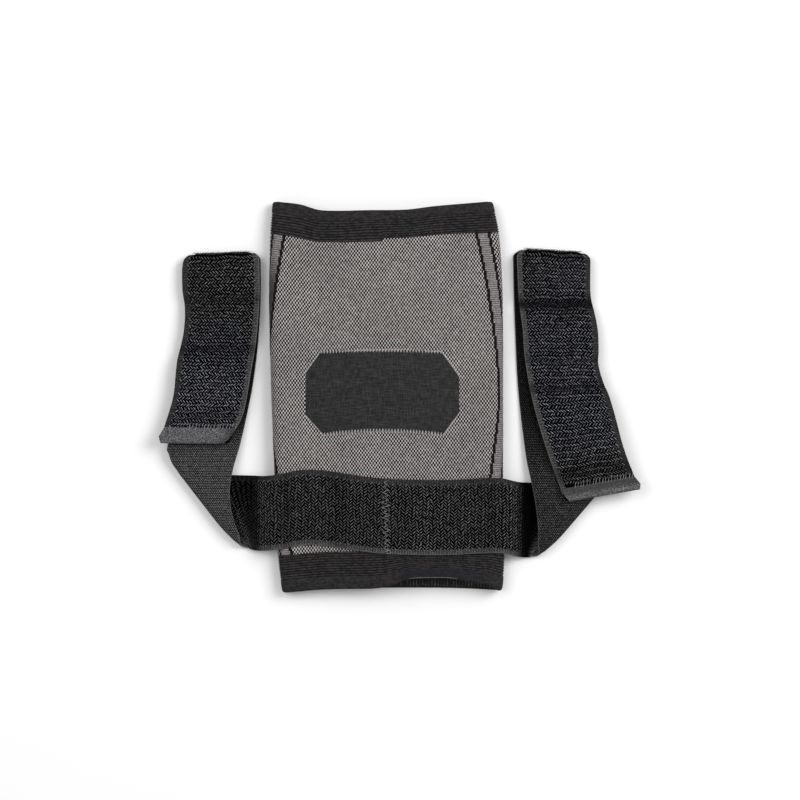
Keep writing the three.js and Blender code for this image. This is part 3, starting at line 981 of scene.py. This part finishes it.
light_thread = thread_finish("light_thread", 118, 182)
tick_radius = [0.3, 0.44, 0.48, 0.48, 0.44, 0.3]
knee_ticks = thread_piece("knee_panel_ticks", knee_border(), tick_radius, "mesh_knit", light_thread)
knee_cords = thread_piece("knee_panel_border", chamfer_cords(), 0.3, "mesh_knit", light_thread)


# Cuffs
CUFF_LENGTH = 23
HEM, HEM_RIM = 8, 20.5
PUCKER_X, PUCKER_Y = -10, -127.6
PUCKER_TALL, PUCKER_WIDE = 0.7, 3.6
JOG, JOG_X = 1.7, -2.6
CUFF_COLUMNS = 600
RIB_STEPS = 6
CUFFS = (("top", 8, TOP_EDGE, 1, 55), ("bottom", 10, BOTTOM_EDGE, -1, 56))


def cuff_profile(rib_count):
    """Closed section of a cuff: way to the rim, depth, strength of the wales and rib phase."""
    rib_end = 1 - HEM / CUFF_LENGTH
    hem_phase, inner_phase = rib_count + 0.5, -1.5
    rows = []
    for step in range(rib_count * RIB_STEPS):
        t = step / RIB_STEPS
        crest = math.sin(math.pi * (t % 1)) ** 0.8
        rows.append((rib_end * t / rib_count, 0.55 - 0.8 * crest, 0.0, t))
    rows.append((rib_end, 0.5, 0.0, rib_count))
    for t in np.linspace(0.06, 0.86, 9):
        rows.append((lerp(rib_end, 1, t), -0.1 - 0.2 * math.sin(math.pi * t), 0.07, hem_phase))
    for turn in np.linspace(0, math.pi, 8)[1:-1]:
        rim = 1 - 1.1 / CUFF_LENGTH * (1 - math.sin(turn))
        rows.append((rim, 1 - 1.05 * math.cos(turn), 0.05, HEM_RIM))
    for t in np.linspace(0.95, 0.02, 16):
        rows.append((t, 2.0, -0.25 if t > 0.2 else 0.0, inner_phase))
    return [np.array(column) for column in zip(*rows)]


def cuff_cloth(name, rib_count, edges, mouth):
    way, depth, wale, phase = cuff_profile(rib_count)
    station = edges["border"][3]
    half = half_round(station)
    wales = np.cos(2 * math.pi * np.arange(CUFF_COLUMNS) / CELLS)
    share = np.linspace(-1, 1, CUFF_COLUMNS, endpoint=False)[None, :]
    round_at = share * half
    x = tube_point(round_at, station, 0)[..., 0]
    front = np.abs(share) < 0.5
    drawn = np.where(front, GAPE_BACK * gape_share(x), 0) if mouth < 0 else 0
    border = read(edges, "border", x)
    rim = read(edges, "rim", x) + drawn
    y = lerp(border, rim, way[:, None])
    sunk_by = depth[:, None] + wale[:, None] * wales[None, :]
    if mouth > 0:
        jog = JOG * smoothstep(x, -45, -8) * (x < JOG_X) * front
        y = y - jog * np.clip(1 - way[:, None] / 0.35, 0, 1)
        sunk_by = sunk_by - jog / JOG * np.clip(1 - way[:, None] / 0.14, 0, 1)
    else:
        away = np.hypot((x - PUCKER_X) / 1.3, y - PUCKER_Y)
        sunk_by = sunk_by - PUCKER_TALL * np.cos(1.5 * away) * bell(away, 0, PUCKER_WIDE) * front
    points = tube_point(share * half_round(y), y, sunk_by)
    quads = grid_quads(len(way), CUFF_COLUMNS, close_rows=True, close_columns=True)
    if mouth < 0:
        quads = quads[:, ::-1]
    uv = stack(np.arange(CUFF_COLUMNS) / CELLS, phase[:, None])
    shade = np.broadcast_to(gape_share(x) * front * (mouth < 0), y.shape)
    return make_mesh(name, points, quads, None, uv, shade)


for word, rib_count, edges, mouth, level in CUFFS:
    cloth = cuff_cloth(f"{word}_cuff_cloth", rib_count, edges, mouth)
    material = cuff_finish(f"cuff_knit_{word}", level)
    finish_piece(cloth, "cuff_knit", material, f"{word}_cuff")


# Strap
def strap_half(side):
    """Lines across one half of the strap, from the middle seam out to its end."""
    out, leave, land = side["out"], side["leave"], side["land"]
    corner, leg, top, front, edge = (side[key] for key in ("corner", "leg", "top", "front", "edge"))
    half, rest = STRAP_WIDTH / 2, STRAP_THICK / 2
    angle = math.radians(corner["angle"])
    ways = np.array([math.cos(angle), math.sin(angle), 0])
    outward = np.array([math.sin(angle), -math.cos(angle), 0])
    lines = []
    marks = {}

    def seat(x, y):
        return top_height(out * min(x, leave), y) + rest + 0.4

    def band_line(x):
        middle = float(read(BAND, "y", out * x))
        down = float(smoothstep(x, *side["drop"]))
        ends = [middle - half, middle + half]
        return np.array([[x, y, lerp(float(seat(x, y)), rest + 0.8, down)] for y in ends])

    for x in np.linspace(0, land, 120):
        lines.append(band_line(x))

    def corner_at(w):
        return [corner["x"] + w / math.tan(angle), corner["y"] + w, rest + 0.1]

    roll_start = np.array([corner_at(-half), corner_at(half)])
    roll_start[0, 2] += 0.9
    for t in np.linspace(0, 1, 25)[1:]:
        lines.append(lerp(band_line(land), roll_start, t))
    marks["corner"] = len(lines)
    slip = np.array(corner["slip"])[:, None]
    roll = np.array(corner["roll"])[:, None]
    rise = np.array([0, 0, corner["roll"][1]])
    for turn in np.linspace(0, math.pi, ROLL_LINES + 1)[1:]:
        shift = ways * slip * turn / math.pi + outward * roll * math.sin(turn)
        lines.append(roll_start + shift + rise * (1 - math.cos(turn)))
    roll_end = lines[-1]
    marks["leg"] = len(lines)

    def leg_height(x, y):
        away = -outward[0] * (x - roll_end[0, 0]) - outward[1] * (y - roll_end[0, 1])
        return lerp(roll_end[1, 2], rest, float(smoothstep(away, 0, FALL_REACH)))

    def tip_drop(y):
        return top["tilt"] * smoothstep(y, top["y"] - 35, top["y"])

    def leg_line(y):
        x = float(read(leg, "x", y))
        places = (x - half + float(read(leg, "inner", y)), x + half)
        drops = (0, float(tip_drop(y)))
        return np.array([[at, y - drop, leg_height(at, y)] for at, drop in zip(places, drops)])

    leg_start = leg["y"][0]
    for t in np.linspace(0, 1, 30)[1:]:
        fan = lerp(roll_end, leg_line(leg_start), t)
        fan[0, 0] += corner["bow"] * math.sin(math.pi * t)
        fan[0, 2] = lerp(roll_end[0, 2], leg_height(fan[0, 0], fan[0, 1]), t)
        lines.append(fan)
    for y in np.linspace(leg_start, top["y"], 120)[1:]:
        lines.append(leg_line(y))

    def front_line(y):
        x = float(read(front, "x", y))
        turn = math.radians(float(read(front, "turn", y)))
        lift = float(read(front, "lift", y)) + STRAP_THICK + 0.4
        way = np.array([math.cos(turn), math.sin(turn), 0])
        reaches = (float(read(edge, "inner", y)) - half, half + float(read(edge, "outer", y)))
        ends = np.array([np.array([x, y, 0]) + reach * way for reach in reaches])
        creases = side["creases"]
        pressed = creases["depth"] * bell(y, creases["y"], creases["wide"])
        for end in ends:
            end[2] = leg_height(end[0], end[1]) + lift - pressed.sum()
        ends[1, 1] -= tip_drop(y)
        return ends

    under, over = lines[-1], front_line(top["y"])
    marks["top"] = len(lines)
    for turn in np.linspace(0, math.pi, ROLL_LINES + 1)[1:]:
        wrap = lerp(under, over, (1 - math.cos(turn)) / 2)
        wrap[:, 1] += top["roll"] * math.sin(turn)
        wrap[0, 0] += top["inset"][0] * math.sin(turn)
        wrap[1, 0] -= top["inset"][1] * math.sin(turn)
        lines.append(wrap)
    for y in np.linspace(top["y"], front["y"][0], 140)[1:]:
        lines.append(front_line(y))
    lines = np.array(lines)
    lines[:, :, 0] *= out
    return lines, marks


for side in (LEFT, RIGHT):
    side["lines"], side["marks"] = strap_half(side)
seam_line = len(LEFT["lines"]) - 1
strap_lines = np.concatenate([LEFT["lines"][::-1], RIGHT["lines"][1:]])
line_middles = strap_lines.mean(axis=1)
line_run = np.concatenate([[0], np.cumsum(np.linalg.norm(np.diff(line_middles, axis=0), axis=1))])
middle_at = float(line_run[seam_line])
strap_length = float(line_run[-1])
station_count = int(round(strap_length / STATION)) + 1
stations = np.linspace(0, strap_length, station_count)
even_lines = np.stack([follow(stations, line_run, strap_lines[:, e]) for e in range(2)], axis=1)


def run_of(side, mark, further=0):
    """Place along the strap of a marked line of one half, or of one that comes further out."""
    return float(line_run[seam_line + side["out"] * (side["marks"][mark] + further)])


SOFTEN = 5
soft = even_lines.copy()
for reach in range(1, SOFTEN // 2 + 1):
    soft[SOFTEN:-SOFTEN] += even_lines[SOFTEN - reach : -SOFTEN - reach]
    soft[SOFTEN:-SOFTEN] += even_lines[SOFTEN + reach : station_count - SOFTEN + reach]
soft[SOFTEN:-SOFTEN] /= 2 * (SOFTEN // 2) + 1
even_lines = soft
EASE, EASE_REACH = 21, 17
CORNER_REACH, CORNER_ALONG = 18, 9
kernel = np.ones(EASE) / EASE
corner_pulls = []
for side in (LEFT, RIGHT):
    near = bell(stations, run_of(side, "leg"), EASE_REACH)[:, None]
    eased = stack(*(np.convolve(even_lines[:, 1, axis], kernel, "same") for axis in range(3)))
    even_lines[:, 1] = lerp(even_lines[:, 1], eased, near)
    angle = math.radians(side["corner"]["angle"])
    inward = np.array([-side["out"] * math.sin(angle), math.cos(angle), 0])
    corner_pulls.append((run_of(side, "corner", ROLL_LINES // 2), inward * side["corner"]["round"]))


def strap_frame(run, across):
    """Points of the strap's middle surface with the directions along, across and out of its loop side."""
    run = np.asarray(run, float)
    across = np.asarray(across, float)
    step = stations[1]

    def ends(at):
        return [follow(at, stations, even_lines[:, e]) for e in range(2)]

    def place(at):
        point = lerp(*ends(at), (across / STRAP_WIDTH + 0.5)[..., None])
        for mark, pull in corner_pulls:
            near = np.clip(1 - (across + STRAP_WIDTH / 2) / CORNER_REACH, 0, 1) ** 2
            near = near * bell(at, mark, CORNER_ALONG)
            point = point + near[..., None] * pull
        return point

    low, high = ends(run)
    along = unit(place(np.minimum(run + step, strap_length)) - place(np.maximum(run - step, 0)))
    wide = unit(high - low)
    return place(run), along, wide, unit(np.cross(along, wide))


def painted_shade_places():
    """Places of painted shade along the strap, where it bends away and in its creases, and of painted
    highlight at its gleams: place, reach, strength and sharpness.
    """
    band_part = (stations > run_of(LEFT, "corner")) & (stations < run_of(RIGHT, "corner"))
    across_at = even_lines[band_part].mean(axis=1)[:, 0]
    found = []
    for x, wide, deep in zip(*BAND_SHADE.values()):
        found.append((np.interp(x, across_at, stations[band_part]), wide, deep, 4))
    for side in (LEFT, RIGHT):
        front = side["out"] * (stations - run_of(side, "top", PAST_FOLD)) > 0
        level = even_lines[front].mean(axis=1)[:, 1]
        order = np.argsort(level)
        level, places = level[order], stations[front][order]
        for y, depth, wide in zip(*side["creases"].values()):
            found.append((np.interp(y, level, places), wide + 0.5, 0.3 * depth, 2))
        y, wide, gain = side["gleam"]
        found.append((np.interp(y, level, places), wide, -gain, 2))
    return found


painted_shade_list = painted_shade_places()


def strap_shade(run):
    """Painted shade along the strap's run: 1 in the open, less in its bends and creases, and more at its
    painted gleams.
    """
    light = np.ones(np.shape(run))
    for place, wide, deep, power in painted_shade_list:
        light *= 1 - deep * bell(run, place, wide, power)
    return light


FOLD_SWELL, FOLD_REACH = 0.8, 5
bends = [run_of(side, "top", ROLL_LINES // 2) for side in (LEFT, RIGHT)]


def fold_share(run):
    """1 at the two folds where the strap's ends turn back, and 0 away from them."""
    return sum(bell(run, bend, FOLD_REACH) for bend in bends)


def strap_cloth():
    half = STRAP_WIDTH / 2
    low, high = -half + SELVEDGE_IN, half - SELVEDGE_OUT
    samples = np.concatenate(
        [
            [-half, -half + 0.35, -half + 1, -half + 2.2, -half + 3.2, low - 0.3],
            np.linspace(low, high, 18),
            [high + 0.3, half - 2.2, half - 1, half - 0.35, half],
        ]
    )
    thick = np.interp(
        samples,
        [-half, -half + 0.4, low - 0.4, low, high, high + 0.4, half - 0.4, half],
        [0.22, 0.62, 0.62, 0.9, 0.9, 0.62, 0.62, 0.22],
    )
    selvedge = ((samples < low - 0.2) | (samples > high + 0.2)) & (np.abs(samples) < half - 0.1)
    run, across = np.meshgrid(stations, samples, indexing="ij")
    here, _, _, normal = strap_frame(run, across)
    tick = 0.05 * np.cos(math.pi * np.arange(station_count))[:, None] * selvedge[None, :]
    piled = smoothstep(samples, low, low + 3) * (1 - smoothstep(samples, high - 3, high))
    swell = FOLD_SWELL * fold_share(run) * piled[None, :]
    face = here + normal * (thick[None, :] + tick + swell)[..., None]
    back = here - normal * (thick[None, :] + tick)[..., None]
    ring = np.concatenate([face, back[:, ::-1]], axis=1)
    count = len(samples)
    quads = grid_quads(station_count, 2 * count, close_columns=True)
    pairs = np.arange(count - 1)
    near = np.stack([pairs, pairs + 1, 2 * count - 2 - pairs, 2 * count - 1 - pairs], axis=-1)
    far = near[:, ::-1] + (station_count - 1) * 2 * count
    all_quads = np.concatenate([quads[:, ::-1], near[:, ::-1], far[:, ::-1]])
    uv_one = stack(run / STRAP_MAP, across / STRAP_MAP)
    uv = np.concatenate([uv_one, uv_one[:, ::-1]], axis=1)
    x, y = back[..., 0], back[..., 1]
    # Painted shadow on the reverse of the legs, darker towards their tops where the front layers lie over
    # them, and darker all along on the right side.
    left_light = lerp(1.0, 0.2, smoothstep(y, -44, -2))
    right_light = lerp(0.6, 0.26, smoothstep(y, -70, 0))
    under = np.where(x < 0, left_light, right_light)
    # The loop side gets the painted shade along the run, the reverse the painted shadow of the legs.
    shade = np.concatenate([strap_shade(run), under[:, ::-1]], axis=1)
    piece = make_mesh("strap_cloth", ring, all_quads, None, uv, shade)
    column = np.tile(np.arange(2 * count), station_count - 1)
    index = np.zeros(len(all_quads), np.int32)
    index[: len(column)] = (column >= count - 1) & (column < 2 * count - 1)
    piece.data.polygons.foreach_set("material_index", index)
    return piece


strap = finish_piece(
    strap_cloth(), "strap_elastic", [strap_face_finish(), strap_reverse_finish()], "strap"
)

# Loop pile on the strap's upper face, in rows that lean one way and then the other
PILE_ROW, PILE_PITCH = 2.36, 2.08
LOOP_TALL, LOOP_THICK, LOOP_SIDES = 0.8, 0.1, 3
LOOP_LEAN = math.radians(45)
ROW_WAVE, WAVE_ACROSS, WAVE_ALONG = 0.35, 3.4, 40
STRANDS, STRAND_GAP = 2, 0.15
TUFT_STRAY, TUFT_TURN, TIP_STRAY = 0.12, 0.06, 0.08
STRAND_ACROSS, STRAND_ALONG, STRAND_TURN = 0.04, 0.06, 0.04
LENGTHS, HEIGHTS, GAUGES = (0.85, 1.08), (0.6, 1.25), (0.75, 1.2)
LEAN_LIGHT = [0.16, 0.12, -0.12, 0.16, 0.1, 0.1, 0.02, 0.18]
strap_pile = pile_finish()


def pile(name, start, end, gain, spread, long):
    """Tufts of a few arched loops each, between two places along the strap, with painted light and shade
    in their shade values.
    """
    rows = np.arange(start, end, PILE_ROW)
    half = STRAP_WIDTH / 2
    first, last = -half + SELVEDGE_IN + 0.3, half - SELVEDGE_OUT - 0.3
    columns = np.linspace(first, last, round((last - first) / PILE_PITCH) + 1)
    run, across = np.meshgrid(rows, columns, indexing="ij")
    turned = np.where(np.arange(len(rows)) % 2 == 0, 1.0, -1.0)[:, None]
    across = across + PILE_PITCH / 4 * turned
    lean = (turned * np.ones(run.shape)).ravel()
    tufts = run.size
    run = run + ROW_WAVE * np.sin(across / WAVE_ACROSS + run / WAVE_ALONG)
    run = run.ravel() + rng.normal(0, TUFT_STRAY, tufts)
    across = across.ravel() + rng.normal(0, TUFT_STRAY, tufts)
    angle = lean * LOOP_LEAN + rng.normal(0, TUFT_TURN, tufts)
    run, across, angle = (np.repeat(each, STRANDS) for each in (run, across, angle))
    count = tufts * STRANDS
    strand = np.tile(np.arange(STRANDS) - (STRANDS - 1) / 2, tufts)
    across = across + STRAND_GAP * strand * np.cos(angle) + rng.normal(0, STRAND_ACROSS, count)
    run = run - STRAND_GAP * strand * np.sin(angle) + rng.normal(0, STRAND_ALONG, count)
    run = np.clip(run, 1, strap_length - 1)
    angle = angle + rng.normal(0, STRAND_TURN, count)
    here, along, wide, normal = strap_frame(run, across)
    direction = np.cos(angle)[:, None] * along + np.sin(angle)[:, None] * wide
    side = np.cross(normal, direction)
    way = np.array([-1, -0.62, 0, 0.62, 1])[None, :, None]
    arch = 1 - way**4
    length = long * rng.uniform(*LENGTHS, count)[:, None, None]
    bent = fold_share(run)
    tall = (LOOP_TALL * rng.uniform(*HEIGHTS, count))[:, None, None]
    tip = rng.normal(0, TIP_STRAY, count)[:, None, None]
    foot = here + normal * (STRAP_THICK / 2 - 0.2 + FOLD_SWELL * bent)[:, None]
    paths = foot[:, None] + direction[:, None] * length / 2 * way
    paths = paths + (normal[:, None] * tall + side[:, None] * tip) * arch
    radius = LOOP_THICK * rng.uniform(*GAUGES, count)[:, None]
    ups = np.broadcast_to(side[:, None], paths.shape)
    points, quads, tris = tubes(paths, ups, radius, LOOP_SIDES)
    # Painted light: loops that lean one way are lit more than those leaning the other, by place along the
    # strap.
    facing = 1 + np.sign(angle) * np.interp(run, lean_places, LEAN_LIGHT)
    glint = np.repeat(rng.uniform(1 - spread, 1 + spread, tufts), STRANDS)
    # Painted shade along the strap's run and at the folds, and a random painted glint per tuft; gain sets
    # each piece's painted light level, higher on the raised front layers.
    bright = gain * facing * strap_shade(run) * glint * (1 - 0.6 * bent)
    # Painted shade at the loops' feet, lit at their tops.
    crown = 0.2 + 0.8 * (1 - np.abs(way[..., 0]) ** 3)
    shade = np.repeat((bright[:, None] * crown).ravel(), LOOP_SIDES)
    return finish_piece(make_mesh(name, points, quads, tris, None, shade), "strap_elastic", strap_pile)


left_fold, right_fold = (run_of(side, "corner") for side in (LEFT, RIGHT))
left_top, right_top = (run_of(side, "top") for side in (LEFT, RIGHT))
right_middle = lerp(right_top, strap_length, 0.35)
lean_places = [0, 0.7 * left_top, left_top, left_fold, right_fold, right_top, right_middle, strap_length]
piles = [
    pile("strap_pile_band", left_fold - 2, right_fold + 2, 0.42, 0.2, 3.25),
    pile("strap_pile_left", 4, left_top + 1, 0.55, 0.36, 3.1),
    pile("strap_pile_right", right_top - 1, strap_length - 4, 0.53, 0.36, 3.1),
]


# Sewn details of the strap
def seam_stitches():
    """Zigzag seam across the strap at its middle, each stitch sagging into the pile at its ends."""
    steps = np.linspace(0, 1, 7)
    turns = np.linspace(-STRAP_WIDTH / 2 + 0.8, STRAP_WIDTH / 2 - 0.8, 30)
    swing = np.where(np.arange(len(turns)) % 2 == 0, -2.0, 2.0) + rng.normal(0, 0.6, len(turns))
    paths = []
    for k in range(len(turns) - 1):
        run = middle_at - 0.6 + lerp(swing[k], swing[k + 1], steps)
        across = lerp(turns[k], turns[k + 1], steps)
        here, _, _, normal = strap_frame(run, across)
        height = STRAP_THICK / 2 + 0.1 + rng.uniform(0.35, 0.8) * np.sin(math.pi * steps)
        paths.append(here + normal * height[:, None])
    return paths


seam_thread = thread_finish("seam_thread", 26, 160)
seam = thread_piece("strap_seam", seam_stitches(), 0.2, "strap_elastic", seam_thread)


def thread_tail():
    """Small loop of loose thread at the seam's lower end."""
    t = np.linspace(0, 1, 28)
    turn = 2 * math.pi * t * 1.15 + 0.5
    run = middle_at + 1.2 + 1.3 * np.cos(turn)
    across = -STRAP_WIDTH / 2 + 1.4 + 1.1 * np.sin(turn)
    here, _, _, normal = strap_frame(run, across)
    return (here + normal * (1.5 + 0.5 * np.sin(math.pi * t))[:, None])[None]


tail = thread_piece("strap_seam_tail", thread_tail(), 0.22, "strap_elastic", seam_thread)


# Bound ends of the strap
tab_felt = tab_finish()
tick_thread = thread_finish("tick_thread", 60, 165)


def tab_layout(side):
    """Middle of the strap's end, and the directions outward, down and up there."""
    low, high = side["lines"][-1]
    outward = unit(high - low)
    down = unit(np.array([outward[1], -outward[0], 0])) * side["out"]
    up = np.cross(down, outward)
    return high - outward * STRAP_WIDTH / 2, outward, down, up * np.sign(up[2])


def tab_cloth(name, side):
    """Tape folded round the strap's end, its fold open at both sides."""
    middle, outward, down, up = tab_layout(side)
    tab = side["tab"]
    clear = STRAP_THICK / 2 + TAB_CLEAR
    nose = tab["depth"] - TAB_LAP - clear - TAB_THICK
    flat_steps, round_steps, across_steps = 16, 14, 90
    sheets = []
    for offset in (TAB_THICK, 0.0):
        radius = clear + offset
        flat_run = np.linspace(-TAB_LAP, nose, flat_steps + 1)
        turn = np.linspace(0, math.pi, round_steps + 1)[1:-1]
        run = np.concatenate([flat_run, nose + radius * np.sin(turn), flat_run[::-1]])
        rise = np.concatenate(
            [np.full(flat_steps + 1, radius), radius * np.cos(turn), np.full(flat_steps + 1, -radius)]
        )
        upper = np.clip(0.5 + rise / radius / 2, 0, 1)
        share = np.clip((run + TAB_LAP) / tab["depth"], 0, 1)
        cut = lerp(tab["under"], tab["inner"], upper)
        inner_end = -STRAP_WIDTH / 2 + lerp(tab["inset"], cut, share**2)
        outer_end = STRAP_WIDTH / 2 + tab["outer"] * np.interp(share, [0, 0.6, 1], [-0.4, 1, 0.5])
        across = lerp(inner_end[:, None], outer_end[:, None], np.linspace(0, 1, across_steps + 1)[None])
        fuzz = 0.12 * np.sin(across * 2.9 + run[:, None] * 4.1) * np.sin(across * 1.7 - run[:, None] * 2.3)
        sag = 0.5 * np.sin(across / 9 + 0.6)
        end_away = across - inner_end[:, None]
        curl = tab["curl"] * (1 - smoothstep(end_away, 0, 9)) * upper[:, None] * share[:, None]
        points = (
            middle
            + outward * across[..., None]
            + down * run[:, None, None]
            + up * (rise[:, None] + fuzz * (offset > 0) + sag * 0.3 + curl)[..., None]
        )
        sheets.append(points)
    rows, columns = sheets[0].shape[:2]
    points = np.concatenate([sheets[0], sheets[1][::-1]])
    quads = grid_quads(2 * rows, columns, close_rows=True)
    ends = []
    for column in (0, columns - 1):
        j = np.arange(rows - 1)
        a, b = j * columns + column, (j + 1) * columns + column
        c, d = (2 * rows - 2 - j) * columns + column, (2 * rows - 1 - j) * columns + column
        end = np.stack([a, b, c, d], axis=-1)
        ends.append(end if column == 0 else end[:, ::-1])
    ways = np.concatenate([share, np.full(len(share), -1.0)])
    uv = stack(np.linspace(0, 1, columns), ways[:, None])
    shade = np.full(len(ways) * columns, tab["band"])
    return make_mesh(name, points, np.concatenate([quads, *ends]), None, uv, shade)


def tab_stitches(name, side):
    """Slanted ticks that hold the tape's upper border down on the pile."""
    middle, outward, down, up = tab_layout(side)
    steps = np.linspace(0, 1, 6)
    paths = []
    for place in np.arange(*side["tab"]["ticks"], PILE_PITCH):
        across = place + rng.normal(0, 0.25) + lerp(0.6, -0.6, steps) * side["out"]
        run = -TAB_LAP + lerp(-2.2 - rng.uniform(0, 1.4), 1.0, steps)
        rise = lerp(1.2, 2.15, smoothstep(steps, 0.1, 0.7)) + 0.35 * np.sin(math.pi * steps)
        paths.append(middle + outward * across[:, None] + down * run[:, None] + up * rise[:, None])
    return thread_piece(name, paths, 0.17, "tab_fabric", tick_thread, up)


tabs, tab_ticks = [], []
for word, side in (("left", LEFT), ("right", RIGHT)):
    cloth = tab_cloth(f"strap_tab_{word}_felt", side)
    tabs.append(finish_piece(cloth, "tab_fabric", tab_felt, f"strap_tab_{word}"))
    tab_ticks.append(tab_stitches(f"strap_tab_{word}_ticks", side))


# Trim pieces gathered in a list; the lists of threads and piles beside it are not kept
trim = [body_pieces[name] for name in body_pieces if "stripe" in name]
trim + [knee_ticks, knee_cords]
piles + [seam, tail]


# Floor, light and camera
def floor_finish():
    finish = Finish("floor_white", roughness=0.9, specular=0.1)
    cloud = finish.noise(3, 1)
    finish.colour(finish.mix(cloud, (0.86, 0.86, 0.86, 1), (0.88, 0.88, 0.88, 1)))
    return finish.material


floor_mesh = bpy.data.meshes.new("floor")
FLOOR_HALF = 3.0
corners = [(x * FLOOR_HALF, y * FLOOR_HALF, 0) for x, y in ((-1, -1), (1, -1), (1, 1), (-1, 1))]
floor_mesh.from_pydata(corners, [], [(0, 1, 2, 3)])
floor = bpy.data.objects.new("floor", floor_mesh)
floor.data.materials.append(floor_finish())
bpy.context.scene.collection.objects.link(floor)

world = bpy.data.worlds.new("studio")
world.use_nodes = True
world.node_tree.nodes["Background"].inputs["Color"].default_value = (1, 1, 1, 1)
world.node_tree.nodes["Background"].inputs["Strength"].default_value = 0.5
bpy.context.scene.world = world


def area_light(name, place, size, power):
    data = bpy.data.lights.new(name, "AREA")
    data.size = size
    data.energy = power
    lamp = bpy.data.objects.new(name, data)
    lamp.location = place
    lamp.rotation_euler = (Vector((0, 0, 0)) - Vector(place)).to_track_quat("-Z", "Y").to_euler()
    bpy.context.scene.collection.objects.link(lamp)


area_light("key_light", (1.7, 0.9, 1.9), 1.5, 52)
area_light("fill_light", (-1.2, 0.6, 1.9), 1.5, 20)

CAMERA_HEIGHT = 2.2
SENSOR = 36
VIEW_WIDTH = 0.544
VIEW_LEVEL = 0.008
VIEW_MIDDLE = (0.00884, -0.00204)
camera_data = bpy.data.cameras.new("camera")
camera_data.sensor_width = SENSOR
camera_data.lens = SENSOR * (CAMERA_HEIGHT - VIEW_LEVEL) / VIEW_WIDTH
camera = bpy.data.objects.new("camera", camera_data)
camera.location = (*VIEW_MIDDLE, CAMERA_HEIGHT)
bpy.context.scene.collection.objects.link(camera)
bpy.context.scene.camera = camera
bpy.context.scene.view_settings.view_transform = "Standard"
